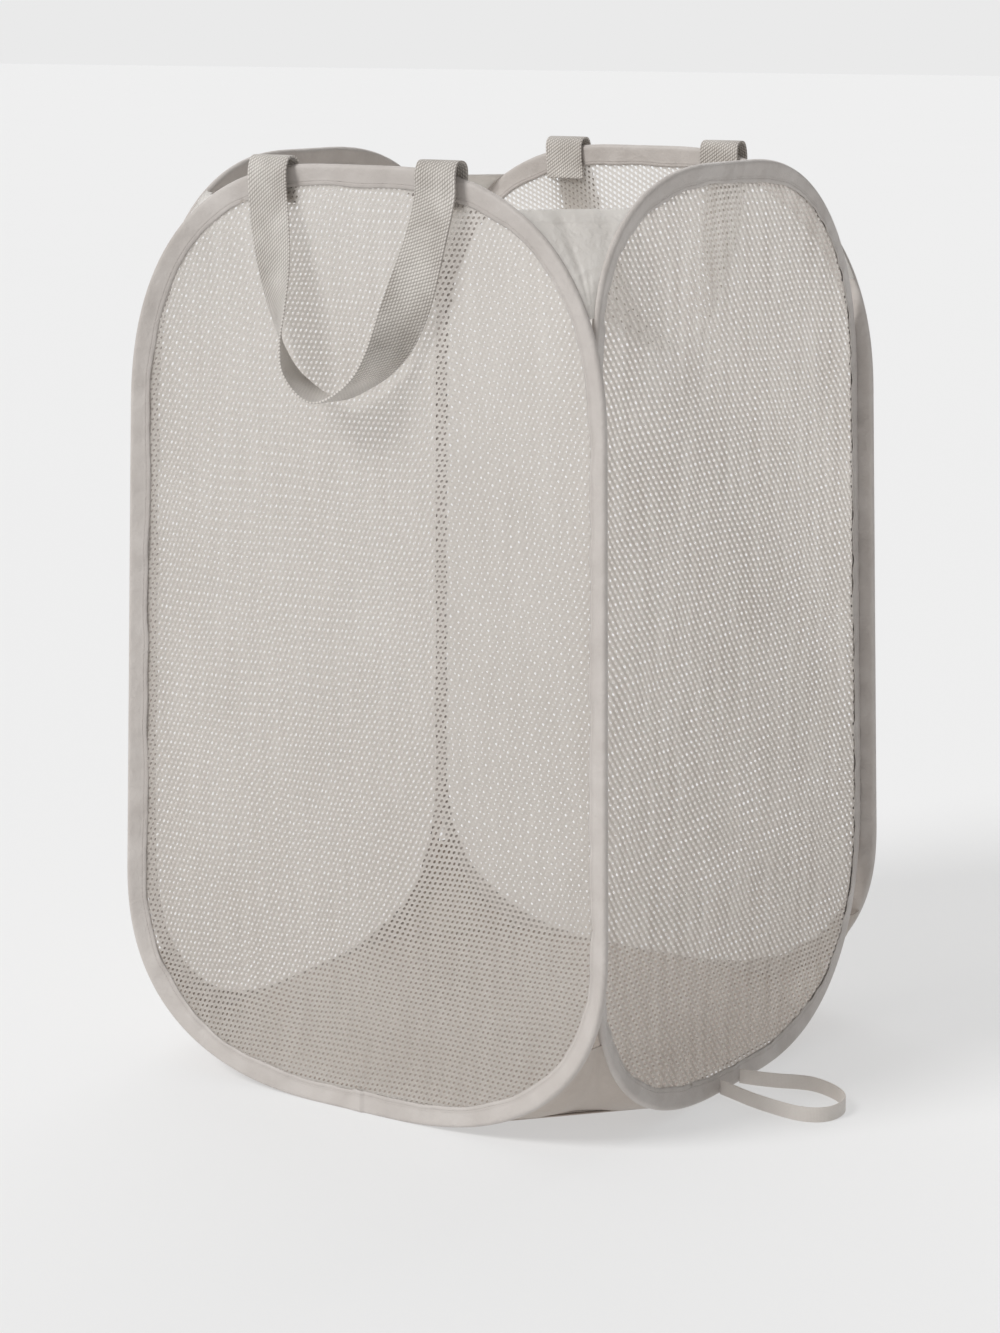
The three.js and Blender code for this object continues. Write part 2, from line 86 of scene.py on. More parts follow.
@dataclass(frozen=True)
class HamperSizes:
    """Lengths of the whole hamper, in metres, as the solids have them.

    The rises say how far a hoop's corners reach along its sides: top left, top right, foot left
    and foot right, as seen from outside. The bends turn the bindings in, in radians; they grow
    from one share of the panel's half width to another.
    """

    front_to_back: float = 0.356
    left_to_right: float = 0.349
    height: float = 0.610
    lean: float = 0.02
    flat_run: float = 0.044
    foot_flat: float = 0.0003
    outer_proud: float = 0.012
    bead_half: float = 0.0028
    seam_gap: float = 0.0004
    top_power: float = 2.35
    foot_power: float = 2.4
    outer_rises: tuple[float, ...] = (0.165, 0.165, 0.140, 0.140)
    side_rises: tuple[float, ...] = (0.112, 0.158, 0.128, 0.170)
    tape_reach: float = 0.0142
    outer_bend: float = math.radians(16.0)
    left_bend: float = math.radians(12.0)
    right_bend: float = math.radians(-18.0)
    bend_from: float = 0.42
    bend_to: float = 0.92


SIZES = HamperSizes()

# How many places a line gets
CORNER_STEPS, EDGE_STEPS, BEND_STEPS, RIM_STEPS, PATH_STEPS = 120, 900, 400, 240, 24


# Grids, paths and smooth noise

def smoothstep(value: Array, low: float, high: float) -> Array:
    """Smooth step: 0 below low, 1 above high, and 3t^2 - 2t^3 of the share between.

    Args:
        value: Numbers to ease.
        low: Where the step starts.
        high: Where the step ends.

    Returns:
        An array of the same shape, from 0 to 1.
    """
    t = np.clip((value - low) / (high - low), 0.0, 1.0)
    return t * t * (3.0 - 2.0 * t)


@dataclass(frozen=True)
class Ripples:
    """Smooth noise as a sum of sine waves with seeded directions, lengths and phases."""

    seed: int
    longest: float
    shortest: float
    waves: int = 14

    def at(self, points: Array) -> Array:
        """Sum of sin(k . p + phase) / waves^0.5 over the waves, about 1 high.

        Args:
            points: Array of places with the coordinates last.

        Returns:
            The height at each place.
        """
        rng = np.random.default_rng(self.seed)
        direction = rng.normal(size=(self.waves, points.shape[-1]))
        direction /= np.linalg.norm(direction, axis=1, keepdims=True)
        share = rng.random((self.waves, 1))
        length = self.longest * (self.shortest / self.longest) ** share
        phase = rng.random(self.waves) * 2.0 * math.pi
        wave = np.sin(points @ (direction * 2.0 * math.pi / length).T + phase)
        return wave.sum(axis=-1) / math.sqrt(self.waves)


def normalised(vectors: Array) -> Array:
    """Each vector divided by its length."""
    return vectors / np.maximum(np.linalg.norm(vectors, axis=-1, keepdims=True), 1e-12)


def left_of(along: Array) -> Array:
    """Unit vectors a quarter turn left of directions in a plane."""
    return normalised(np.stack([-along[:, 1], along[:, 0]], axis=1))


def inward(line: Array) -> Array:
    """Inward normals of a closed counter-clockwise line."""
    return left_of(np.roll(line, -1, axis=0) - np.roll(line, 1, axis=0))


def running(points: Array, power: float = 1.0) -> Array:
    """Running length at each place of a line, each step raised to a power."""
    steps = np.linalg.norm(np.diff(points, axis=0), axis=1)
    return np.concatenate([[0.0], np.cumsum(steps ** power)])


def resample(points: Array, count: int, closed: bool) -> Array:
    """Places at equal steps along a polyline, by its running length.

    Args:
        points: Polyline, one place per row.
        count: How many places to give.
        closed: Whether the last place leads back to the first.

    Returns:
        count places; a closed line doesn't repeat its first one.
    """
    line = np.vstack([points, points[:1]]) if closed else points
    run = running(line)
    at = np.linspace(0.0, run[-1], count, endpoint=not closed)
    return np.stack([np.interp(at, run, column) for column in line.T], axis=1)


def smooth_path(points: Array, count: int) -> Array:
    """Centripetal Catmull-Rom curve through the points, at equal steps.

    Each stretch blends straight lines through its four nearest points, with knots spaced by the
    square root of the distance between them.

    Args:
        points: Places that the curve passes.
        count: How many places to give.

    Returns:
        Places along the curve.
    """
    line = np.vstack([2.0 * points[0] - points[1], points, 2.0 * points[-1] - points[-2]])
    knots = running(line, 0.5)
    start = np.arange(1, len(line) - 2)
    t = [knots[start + k][:, None, None] for k in (-1, 0, 1, 2)]
    p = [line[start + k][:, None, :] for k in (-1, 0, 1, 2)]
    share = np.linspace(0.0, 1.0, PATH_STEPS, endpoint=False)[None, :, None]
    at = t[1] + (t[2] - t[1]) * share

    def blend(i: int, j: int, low: Array, high: Array) -> Array:
        """The straight blend that gives low at knot i and high at knot j."""
        return (t[j] - at) / (t[j] - t[i]) * low + (at - t[i]) / (t[j] - t[i]) * high

    lines = [blend(k, k + 1, p[k], p[k + 1]) for k in range(3)]
    bows = [blend(k, k + 2, lines[k], lines[k + 1]) for k in range(2)]
    curve = blend(1, 2, *bows).reshape(-1, line.shape[1])
    return resample(np.vstack([curve, line[-2:-1]]), count, closed=False)


# Meshes

def link(name: str, data: bpy.types.ID) -> Object:
    """Puts a new object into the scene.

    Args:
        name: Its name.
        data: The mesh, lamp or camera that it shows.

    Returns:
        The object.
    """
    thing = bpy.data.objects.new(name, data)
    bpy.context.scene.collection.objects.link(thing)
    return thing


def build_mesh(name: str, points: Array, faces: list[Array], uv: Array | None = None) -> Object:
    """Puts arrays into a new smooth mesh object at the origin.

    Args:
        name: Name of the piece.
        points: Places, one per row, in metres.
        faces: Arrays of corner numbers, each with one face per row.
        uv: One pair per face corner, in the order of the faces.

    Returns:
        The new object, linked to the scene.
    """
    corners = np.concatenate([f.reshape(-1) for f in faces]).astype(np.int32)
    sizes = np.concatenate([np.full(len(f), f.shape[1]) for f in faces])
    starts = np.concatenate([[0], np.cumsum(sizes)[:-1]]).astype(np.int32)
    mesh = bpy.data.meshes.new(name)
    mesh.vertices.add(len(points))
    mesh.vertices.foreach_set("co", np.ascontiguousarray(points, dtype=np.float32).reshape(-1))
    mesh.loops.add(len(corners))
    mesh.loops.foreach_set("vertex_index", corners)
    mesh.polygons.add(len(starts))
    mesh.polygons.foreach_set("loop_start", starts)
    mesh.update(calc_edges=True)
    if uv is not None:
        layer = mesh.uv_layers.new(name="cloth")
        layer.data.foreach_set("uv", np.ascontiguousarray(uv, dtype=np.float32).reshape(-1))
    mesh.polygons.foreach_set("use_smooth", np.ones(len(starts), dtype=bool))
    mesh.validate()
    return link(name, mesh)


def grid_uv(along: Array, across: Array) -> Array:
    """Pairs of two places that are broadcast against each other."""
    return np.stack(np.broadcast_arrays(along, across), axis=-1)


def grid_piece(name: str, points: Array, uv: Array, closed_rows: bool = False,
               closed_columns: bool = False, caps: bool = False) -> Object:
    """A surface through a grid of places, one quad between each four neighbours.

    Args:
        name: Name of the piece.
        points: Array of rows by columns by 3.
        uv: Array of rows by columns by 2, with one more row or column where the grid closes.
        closed_rows: Whether the last row leads back to the first.
        closed_columns: Whether the last column leads back to the first.
        caps: Whether the first and last row are closed by a face each.

    Returns:
        The new object.
    """
    rows, columns = points.shape[:2]
    i, j = np.meshgrid(np.arange(rows if closed_rows else rows - 1),
                       np.arange(columns if closed_columns else columns - 1), indexing="ij")
    low, high = i * columns, (i + 1) % rows * columns
    left, right = j, (j + 1) % columns
    quads = np.stack([low + left, low + right, high + right, high + left], axis=-1).reshape(-1, 4)
    pairs = np.stack([uv[i, j], uv[i, j + 1], uv[i + 1, j + 1], uv[i + 1, j]], axis=-2)
    faces, pairs = [quads], [pairs.reshape(-1, 2)]
    if caps:
        ring = np.arange(columns)
        faces += [ring[None, ::-1], (rows - 1) * columns + ring[None, :]]
        pairs += [uv[0, :columns][::-1], uv[-1, :columns]]
    return build_mesh(name, points.reshape(-1, 3), faces, np.concatenate(pairs))


def dress(piece: Object, material: Material, slot: str, *nodes: str) -> None:
    """Gives a piece its material and hides the solids that it stands for.

    Args:
        piece: The piece.
        material: Its material.
        slot: Not used.
        *nodes: The solids that it replaces.
    """
    piece.data.materials.append(material)
    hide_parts(*nodes)


# Panels

def spread(between: float, y: Array | float) -> Array | float:
    """Half the distance between two opposite panels at a height, wider towards the floor."""
    return between / 2.0 + SIZES.lean * (SIZES.height / 2.0 - y)


@dataclass(frozen=True)
class Panel:
    """One panel's plane and hoop, flat in its own frame: x right, y up, z outwards."""

    side: Side

    @property
    def outer(self) -> bool:
        """Whether this is the front or the back panel, whose edges stand proud."""
        return self.side in (Side.FRONT, Side.BACK)

    def half_width(self, y: Array | float) -> Array | float:
        """Half the panel's width at a height, out to the hoop's outer edge."""
        side = spread(SIZES.front_to_back, y) - SIZES.bead_half - SIZES.seam_gap
        return spread(SIZES.left_to_right, y) + SIZES.outer_proud if self.outer else side

    def corner(self, rise: float, at_top: bool, on_right: bool) -> Array:
        """Quarter of a superellipse from the middle of an edge to the side.

        With a turn from 0 to 90 degrees, it goes across by sin(turn)^(2/power) and up or down by
        rise * (1 - cos(turn)^(2/power)).

        Args:
            rise: How far the corner reaches along the side.
            at_top: Whether it starts from the top edge.
            on_right: Whether it ends on the right side.

        Returns:
            Places in the panel's plane.
        """
        power = SIZES.top_power if at_top else SIZES.foot_power
        turn = np.linspace(0.0, math.pi / 2.0, CORNER_STEPS)
        across = np.sin(turn) ** (2.0 / power)
        climb = rise * (1.0 - np.maximum(np.cos(turn), 0.0) ** (2.0 / power))
        y = SIZES.height - climb if at_top else climb
        flat = SIZES.flat_run / 2.0
        x = flat + (self.half_width(y) - flat) * across
        return np.stack([x if on_right else -x, y], axis=1)

    def outline(self, count: int) -> Array:
        """The hoop's outer edge, counter-clockwise from the middle of the bottom.

        Args:
            count: How many places, at equal steps.

        Returns:
            Places in the panel's plane.
        """
        rises = SIZES.outer_rises if self.outer else SIZES.side_rises
        top_left, top_right, foot_left, foot_right = rises
        line = np.vstack([
            [[0.0, 0.0]],
            self.corner(foot_right, at_top=False, on_right=True),
            self.corner(top_right, at_top=True, on_right=True)[::-1],
            self.corner(top_left, at_top=True, on_right=False),
            self.corner(foot_left, at_top=False, on_right=False)[::-1],
        ])
        return resample(line, count, closed=True)

    def inset(self, line: Array, depth: Array | float) -> Array:
        """A closed line moved into the panel along its normals.

        Args:
            line: Places in the panel's plane, counter-clockwise.
            depth: How far inwards, one number or one for each place.

        Returns:
            The moved places.
        """
        return line + inward(line) * np.reshape(depth, (-1, 1) if np.ndim(depth) else ())

    def edge(self, y: Array, on_right: bool, gap: float) -> Array:
        """How far across one side of the hoop's outer edge is at each height.

        Args:
            y: Heights on the panel.
            on_right: Whether the right side is meant.
            gap: How far outwards the edge is moved first.

        Returns:
            The place across, right of the middle, at each height.
        """
        line = self.inset(self.outline(EDGE_STEPS), -gap)
        line = line[line[:, 0] > 0.0] if on_right else line[line[:, 0] < 0.0]
        line = line[np.argsort(line[:, 1])]
        return np.interp(y, line[:, 1], line[:, 0])

    def bend(self, x: Array, y: Array) -> Array:
        """How far the binding turns in towards the corner seam, in radians.

        It grows by a smooth step from the middle of the top and bottom edges to the sides. The
        right edge of a side panel turns out instead.

        Args:
            x: Places across the panel.
            y: Their heights.

        Returns:
            The turn at each place.
        """
        most = np.where(x > 0.0, SIZES.right_bend, SIZES.left_bend)
        if self.outer:
            most = SIZES.outer_bend
        share = np.abs(x) / self.half_width(y)
        return most * smoothstep(share, SIZES.bend_from, SIZES.bend_to)

    def turned(self, depth: Array, off: Array, angle: Array) -> tuple[Array, Array]:
        """Turns a place in the binding's section about the middle of its bead.

        The depth beyond the bead's middle becomes a depth times the cosine and a height off the
        panel of minus its sine.

        Args:
            depth: From the hoop's outer edge into the panel.
            off: Off the panel, outwards.
            angle: The binding's turn.

        Returns:
            The turned depth and height.
        """
        arm = depth - SIZES.bead_half
        return (SIZES.bead_half + arm * np.cos(angle) + off * np.sin(angle),
                off * np.cos(angle) - arm * np.sin(angle))

    def recess(self, x: Array, y: Array) -> Array:
        """How far the net lies behind the hoop's plane, as its bindings turn in.

        At each height it runs straight from the left binding's recess to the right one's.

        Args:
            x: Places across the panel.
            y: Their heights.

        Returns:
            The recess at each place.
        """
        end = 0.0005
        heights = np.linspace(end, SIZES.height - end, BEND_STEPS)
        arm = SIZES.tape_reach - SIZES.bead_half
        sides = (self.edge(heights, on_right, 0.0) for on_right in (False, True))
        left, right = (np.interp(y, heights, arm * np.sin(self.bend(side, heights)))
                       for side in sides)
        share = 0.5 + 0.5 * np.clip(x / self.half_width(y), -1.0, 1.0)
        return left + (right - left) * share

    def place(self, x: Array, y: Array, z: Array | float) -> Array:
        """Places on the panel in the hamper's frame.

        The panel leans back by its lean angle, moves out to its foot and turns by quarter turns.

        Args:
            x: To the right as seen from outside.
            y: Up the panel.
            z: Outwards from the middle of the net.

        Returns:
            An array of the same shape with the three coordinates last.
        """
        x, y, z = np.broadcast_arrays(np.asarray(x, float), y, z)
        lean = math.atan(SIZES.lean)
        between = SIZES.front_to_back if self.outer else SIZES.left_to_right
        out = z * math.cos(lean) - y * math.sin(lean) + spread(between, 0.0)
        up = y * math.cos(lean) + z * math.sin(lean) - SIZES.foot_flat
        turn = self.side.value * math.pi / 2.0
        cos, sin = math.cos(turn), math.sin(turn)
        return np.stack([x * cos + out * sin, x * sin - out * cos, up], axis=-1)


PANELS = {side: Panel(side) for side in Side}


# Materials

def srgb(red: int, green: int, blue: int) -> Colour:
    """Linear colour of a screen colour given in 0 to 255."""
    c = np.array([red, green, blue]) / 255.0
    return tuple(np.where(c <= 0.04045, c / 12.92, ((c + 0.055) / 1.055) ** 2.4).tolist())


def darker(colour: Colour, share: float) -> Colour:
    """A linear colour with only a share of its light."""
    return tuple(v * share for v in colour)


class Nodes:
    """Adds and joins nodes in one node tree. A value is a number, a colour or a socket."""

    def __init__(self, tree: NodeTree) -> None:
        """Keeps the tree and empties it."""
        self.tree = tree
        tree.nodes.clear()

    def feed(self, socket: NodeSocket, value: object) -> None:
        """Sets an input to a number or colour, or links a socket to it.

        Args:
            socket: The input.
            value: The number, colour or socket.
        """
        if isinstance(value, NodeSocket):
            self.tree.links.new(value, socket)
        else:
            socket.default_value = (*value, 1.0) if isinstance(value, tuple) else value

    def add(self, kind: str, values: dict[int | str, object] | None = None,
            **settings: object) -> Node:
        """A new node of a kind.

        Args:
            kind: The node's type.
            values: What feeds its inputs, by number or name.
            **settings: The node's own settings.

        Returns:
            The node.
        """
        node = self.tree.nodes.new(kind)
        for key, value in settings.items():
            setattr(node, key, value)
        for key, value in (values or {}).items():
            self.feed(node.inputs[key], value)
        return node

    def maths(self, operation: str, *values: object, clamp: bool = False) -> NodeSocket:
        """The result of a Math node."""
        return self.add("ShaderNodeMath", dict(enumerate(values)), operation=operation,
                        use_clamp=clamp).outputs[0]

    def mix(self, share: object, low: object, high: object) -> NodeSocket:
        """A mix of two colours by a share."""
        return self.add("ShaderNodeMix", {0: share, 6: low, 7: high}, data_type="RGBA").outputs[2]

    def mix_shaders(self, share: object, first: object, second: object) -> NodeSocket:
        """A mix of two shaders by the second one's share."""
        return self.add("ShaderNodeMixShader", {0: share, 1: first, 2: second}).outputs[0]

    def noise(self, vector: object, scale: float, detail: float = 3.0) -> NodeSocket:
        """The value of a noise texture on a vector."""
        return self.add("ShaderNodeTexNoise",
                        {"Vector": vector, "Scale": scale, "Detail": detail}).outputs[0]

    def split(self, vector: object) -> list[NodeSocket]:
        """The first two coordinates of a vector."""
        return self.add("ShaderNodeSeparateXYZ", {0: vector}).outputs[:2]

    def object_place(self) -> NodeSocket:
        """The place on the object."""
        return self.add("ShaderNodeTexCoord").outputs["Object"]


def new_group(name: str, numbers: dict[str, float],
              *outputs: str) -> tuple[NodeTree, Nodes, object, object]:
    """An empty shader node group that takes a vector and numbers, and gives numbers.

    Args:
        name: Name of the group.
        numbers: The default value of each number.
        *outputs: Names of what it gives.

    Returns:
        The group, a helper on it, its input node's outputs and its output node's inputs.
    """
    tree = bpy.data.node_groups.new(name, "ShaderNodeTree")
    nodes = Nodes(tree)
    tree.interface.new_socket(name="Vector", in_out="INPUT", socket_type="NodeSocketVector")
    for key, value in numbers.items():
        socket = tree.interface.new_socket(name=key, in_out="INPUT", socket_type="NodeSocketFloat")
        socket.default_value = value
    for key in outputs:
        tree.interface.new_socket(name=key, in_out="OUTPUT", socket_type="NodeSocketFloat")
    return tree, nodes, nodes.add("NodeGroupInput").outputs, nodes.add("NodeGroupOutput").inputs


def weave_group() -> NodeTree:
    """Plain or twill weave on the cloth's own UV, in metres.

    The height is the product of a ridge over each warp thread and one over each weft thread,
    shifted by the twill from row to row; the gap darkens the colour there as painted shade.

    Returns:
        The group.
    """
    tree, n, given, out = new_group(
        "woven threads", {"Warp pitch": 0.001, "Weft pitch": 0.001, "Twill": 0.0}, "Height", "Gap")
    x, y = n.split(given["Vector"])
    across = n.maths("DIVIDE", y, given["Warp pitch"])
    along = n.maths("DIVIDE", x, given["Weft pitch"])
    shifted = n.maths("ADD", along, n.maths("MULTIPLY", across, given["Twill"]))
    warp, weft = (n.maths("ABSOLUTE", n.maths("SINE", n.maths("MULTIPLY", place, math.pi)))
                  for place in (across, shifted))
    height = n.maths("MULTIPLY", n.maths("POWER", warp, 0.5), n.maths("POWER", weft, 0.6))
    n.feed(out["Height"], height)
    n.feed(out["Gap"], n.maths("SUBTRACT", 1.0, height, clamp=True))
    return tree


def crinkle_group() -> NodeTree:
    """Soft creases and uneven tone: two sizes of noise, the smaller one sharpened into ridges.

    Returns:
        The group.
    """
    tree, n, given, out = new_group("cloth creases", {"Size": 0.05}, "Height", "Tone")
    grown = n.add("ShaderNodeVectorMath", {0: given["Vector"]}, operation="SCALE")
    n.feed(grown.inputs["Scale"], n.maths("DIVIDE", 1.0, given["Size"]))
    fine_scale, sharpness = 3.1, 0.9
    broad = n.noise(grown.outputs[0], 1.0, 2.0)
    fine = n.noise(grown.outputs[0], fine_scale)
    ridge = n.maths("ABSOLUTE", n.maths("SUBTRACT", fine, 0.5))
    n.feed(out["Height"], n.maths("SUBTRACT", broad, n.maths("MULTIPLY", ridge, sharpness)))
    n.feed(out["Tone"], n.maths("SUBTRACT", broad, 0.5))
    return tree


def stitch_group() -> NodeTree:
    """A row of stitches on the cloth's UV: where it is across, its pitch and its thread's width.

    A stitch is highest in the middle of a pitch and fades one thread away from the row. The pull
    of the row on the cloth reaches three threads.

    Returns:
        The group.
    """
    tree, n, given, out = new_group(
        "row of stitches", {"Across": 0.0, "Pitch": 0.003, "Thread": 0.0006}, "Stitch", "Pull")
    x, y = n.split(given["Vector"])
    far = n.maths("ABSOLUTE", n.maths("SUBTRACT", y, given["Across"]))
    near = n.maths("SUBTRACT", 1.0, n.maths("DIVIDE", far, given["Thread"]), clamp=True)
    phase = n.maths("FRACT", n.maths("DIVIDE", x, given["Pitch"]))
    lift = n.maths("SINE", n.maths("MULTIPLY", phase, math.pi))
    stitch = n.maths("POWER", n.maths("MAXIMUM", lift, 0.0), 0.4)
    n.feed(out["Stitch"], n.maths("MULTIPLY", near, stitch))
    pulled = n.maths("DIVIDE", far, n.maths("MULTIPLY", given["Thread"], 3.0))
    n.feed(out["Pull"], n.maths("SUBTRACT", 1.0, pulled, clamp=True))
    return tree


def knit_group() -> NodeTree:
    """Slanting threads of the net on its own UV, which follows the rows of holes.

    Slanting rows of holes run where x / pitch - y / (2 rise) is whole. The thread is 1 between
    them and 0 along them, as a cosine wave. The streak is noise drawn out upwards, some 9 mm wide
    and 70 mm long.

    Returns:
        The group.
    """
    tree, n, given, out = new_group("slanting threads", {"Pitch": 0.004, "Rise": 0.004},
                                    "Thread", "Streak")
    x, y = n.split(given["Vector"])
    column = n.maths("DIVIDE", x, given["Pitch"])
    row = n.maths("DIVIDE", y, given["Rise"])
    rows = n.maths("SUBTRACT", n.maths("MULTIPLY_ADD", row, -0.5, column), 0.5)
    wave = n.maths("COSINE", n.maths("MULTIPLY", rows, 2.0 * math.pi))
    n.feed(out["Thread"], n.maths("MULTIPLY_ADD", wave, 0.5, 0.5))
    across_scale, up_scale = 110.0, 14.0
    drawn_out = n.add("ShaderNodeCombineXYZ", {0: n.maths("MULTIPLY", x, across_scale),
                                               1: n.maths("MULTIPLY", y, up_scale)})
    n.feed(out["Streak"], n.maths("SUBTRACT", n.noise(drawn_out.outputs[0], 1.0, 2.0), 0.5))
    return tree


GROUPS: dict[str, NodeTree] = {}


def place_group(n: Nodes, key: str, values: dict[str, object]) -> bpy.types.bpy_prop_collection:
    """Puts a shared group into a material.

    Args:
        n: Helper on the material's tree.
        key: Which group.
        values: What feeds its inputs, by name.

    Returns:
        The group's outputs.
    """
    if not GROUPS:
        GROUPS.update(weave=weave_group(), crinkle=crinkle_group(), stitch=stitch_group(),
                      knit=knit_group())
    return n.add("ShaderNodeGroup", values, node_tree=GROUPS[key]).outputs


def new_material(name: str, values: dict[str, object]) -> tuple[
        Material, Nodes, Node, NodeSocket]:
    """A node material with one shader that isn't joined to its surface yet.

    Args:
        name: Name of the material.
        values: What feeds the shader's inputs, by name.

    Returns:
        The material, a helper on its tree, its shader and the input of its surface.
    """
    material = bpy.data.materials.new(name)
    material.use_nodes = True
    n = Nodes(material.node_tree)
    shader = n.add("ShaderNodeBsdfPrincipled", values)
    return material, n, shader, n.add("ShaderNodeOutputMaterial").inputs[0]


@dataclass(frozen=True)
class ClothFinish:
    """A textile finish: colour, sheen, weave, creases, stitches and knit.

    Warp, weft, crease size, stitch rows and knit are lengths on the cloth; the depths are heights
    of its bump; the shades and the mottle are shares of the dark colour.
    """

    name: str
    colour: Colour
    dark: Colour
    roughness: float
    sheen: float
    warp: float
    weft: float
    weave_depth: float
    crease_size: float
    crease_depth: float
    specular: float = 0.3
    twill: float = 0.0
    gap_shade: float = 0.35
    mottle: float = 0.9
    base_shade: float = 0.25
    through: float = 0.0
    stitch_rows: tuple[float, ...] = ()
    stitch_lift: float = 0.0003
    stitch_pull: float = 0.0002
    seam_shade: float = 0.35
    knit: tuple[float, ...] = ()
    knit_shade: float = 0.3
    streak_share: float = 1.6
    tone_roughness: float = 0.2

    def make(self) -> Material:
        """Builds the node material on the cloth's UV and Object coordinates.

        Returns:
            The material.
        """
        material, n, shader, surface = new_material(
            self.name, {"Sheen Weight": self.sheen, "Sheen Roughness": 0.4,
                        "Specular IOR Level": self.specular})
        uv = n.add("ShaderNodeUVMap", uv_map="cloth").outputs[0]
        weave = place_group(n, "weave", {"Vector": uv, "Warp pitch": self.warp,
                                         "Weft pitch": self.weft, "Twill": self.twill})
        crease = place_group(n, "crinkle", {"Vector": n.object_place(), "Size": self.crease_size})
        # painted shade: the colour darkens in the gaps between the threads
        gap = n.maths("MULTIPLY", weave["Gap"], self.gap_shade)
        tone = n.maths("MULTIPLY_ADD", crease["Tone"], self.mottle, self.base_shade)
        share = n.maths("ADD", gap, tone, clamp=True)
        if self.knit:
            pitch, rise = self.knit
            knit = place_group(n, "knit", {"Vector": uv, "Pitch": pitch, "Rise": rise})
            shade = n.maths("MULTIPLY_ADD", knit["Streak"], self.streak_share, knit["Thread"])
            share = n.maths("MULTIPLY_ADD", shade, self.knit_shade, share, clamp=True)
        colour = n.mix(share, self.colour, self.dark)
        height = n.maths("MULTIPLY", weave["Height"], self.weave_depth)
        height = n.maths("MULTIPLY_ADD", crease["Height"], self.crease_depth, height)
        for row in self.stitch_rows:
            stitch = place_group(n, "stitch", {"Vector": uv, "Across": row})
            height = n.maths("MULTIPLY_ADD", stitch["Stitch"], self.stitch_lift, height)
            height = n.maths("MULTIPLY_ADD", stitch["Pull"], -self.stitch_pull, height)
            # darker along each stitch row: the seam's own line, and painted shade in the groove
            # that its pull makes
            seam = n.maths("MULTIPLY", stitch["Pull"], self.seam_shade)
            colour = n.mix(seam, colour, self.dark)
        n.feed(shader.inputs["Base Color"], colour)
        rough = n.maths("MULTIPLY_ADD", crease["Tone"], self.tone_roughness, self.roughness)
        n.feed(shader.inputs["Roughness"], rough)
        bump = n.add("ShaderNodeBump", {"Strength": 1.0, "Distance": 1.0, "Height": height})
        n.feed(shader.inputs["Normal"], bump.outputs[0])
        cloth = shader.outputs[0]
        if self.through:
            glow = n.add("ShaderNodeBsdfTranslucent", {"Color": colour})
            cloth = n.mix_shaders(self.through, cloth, glow.outputs[0])
        n.feed(surface, cloth)
        return material


@dataclass(frozen=True)
class MetalFinish:
    """A drawn or crimped metal finish with fine brushed grain."""

    name: str
    colour: Colour
    roughness: float
    grain_scale: float = 900.0
    grain_roughness: float = 0.25
    dark_share: float = 0.6

    def make(self) -> Material:
        """Builds the metal's node material on Object coordinates.

        Returns:
            The material.
        """
        material, n, shader, surface = new_material(self.name, {"Metallic": 1.0})
        grain = n.noise(n.object_place(), self.grain_scale, 4.0)
        dark = darker(self.colour, self.dark_share)
        n.feed(shader.inputs["Base Color"], n.mix(grain, self.colour, dark))
        rough = n.maths("MULTIPLY_ADD", grain, self.grain_roughness, self.roughness)
        n.feed(shader.inputs["Roughness"], rough)
        n.feed(surface, shader.outputs[0])
        return material


NET = ClothFinish("knitted net", srgb(249, 246, 242), srgb(200, 193, 186), 0.7, 0.3,
                  warp=0.0009, weft=0.0006, weave_depth=0.0001, crease_size=0.12,
                  crease_depth=0.0, gap_shade=0.15, through=0.7, mottle=0.3,
                  knit=(0.00376, 0.00343), knit_shade=0.2)
GUSSET = ClothFinish("gusset taffeta", srgb(248, 246, 243), srgb(222, 218, 213), 0.34, 0.3,
                     warp=0.0004, weft=0.0004, weave_depth=0.00003, crease_size=0.04,
                     crease_depth=0.0035, specular=0.55, through=0.45)
FINISHES = {
    "net": NET,
    # The right panel's net: its own knit pitch, and a darker dark colour as painted shade of the
    # side turned away from the key light.
    "side_net_with_painted_shade": replace(NET, name="knitted side net", colour=srgb(250, 247, 243),
                        dark=srgb(190, 182, 175), through=0.6, knit=(0.0058, 0.0036),
                        knit_shade=0.42),
    "binding": ClothFinish("binding tape", srgb(208, 202, 197), srgb(176, 168, 162), 0.5, 0.25,
                           warp=0.00045, weft=0.00045, weave_depth=0.00004, crease_size=0.026,
                           crease_depth=0.0014, specular=0.4, stitch_rows=(0.0022, 0.0288)),
    "gusset": GUSSET,
    "low_gusset": replace(GUSSET, name="low gusset taffeta", colour=srgb(206, 196, 187),
                          dark=srgb(182, 171, 161), roughness=0.5, sheen=0.2, crease_size=0.05,
                          crease_depth=0.002, specular=0.4, through=0.15),
    "base": replace(GUSSET, name="base taffeta", colour=srgb(190, 179, 170),
                    dark=srgb(166, 155, 146), roughness=0.5, sheen=0.2, crease_size=0.08,
                    crease_depth=0.003, specular=0.3, through=0.0),
    "webbing": ClothFinish("webbing", srgb(242, 237, 231), srgb(148, 139, 130), 0.75, 0.3,
                           warp=0.0018, weft=0.0024, weave_depth=0.0006, crease_size=0.03,
                           crease_depth=0.0008, twill=0.5, gap_shade=0.65),
    "loop_tape": ClothFinish("loop tape", srgb(242, 236, 230), srgb(206, 198, 190), 0.65, 0.25,
                             warp=0.0009, weft=0.0009, weave_depth=0.0002, crease_size=0.03,
                             crease_depth=0.0005),
}


# Camera, floor and light

@dataclass(frozen=True)
class Lamp:
    """A broad sun; angles in degrees, the tilt from straight down, the turn about the upright."""

    name: str
    energy: float
    spread: float
    tilt: float
    turn: float

    def build(self) -> None:
        """Adds the sun."""
        sun = bpy.data.lights.new(self.name, "SUN")
        sun.energy = self.energy
        sun.angle = math.radians(self.spread)
        lamp = link(self.name, sun)
        lamp.rotation_euler = (math.radians(self.tilt), 0.0, math.radians(self.turn))


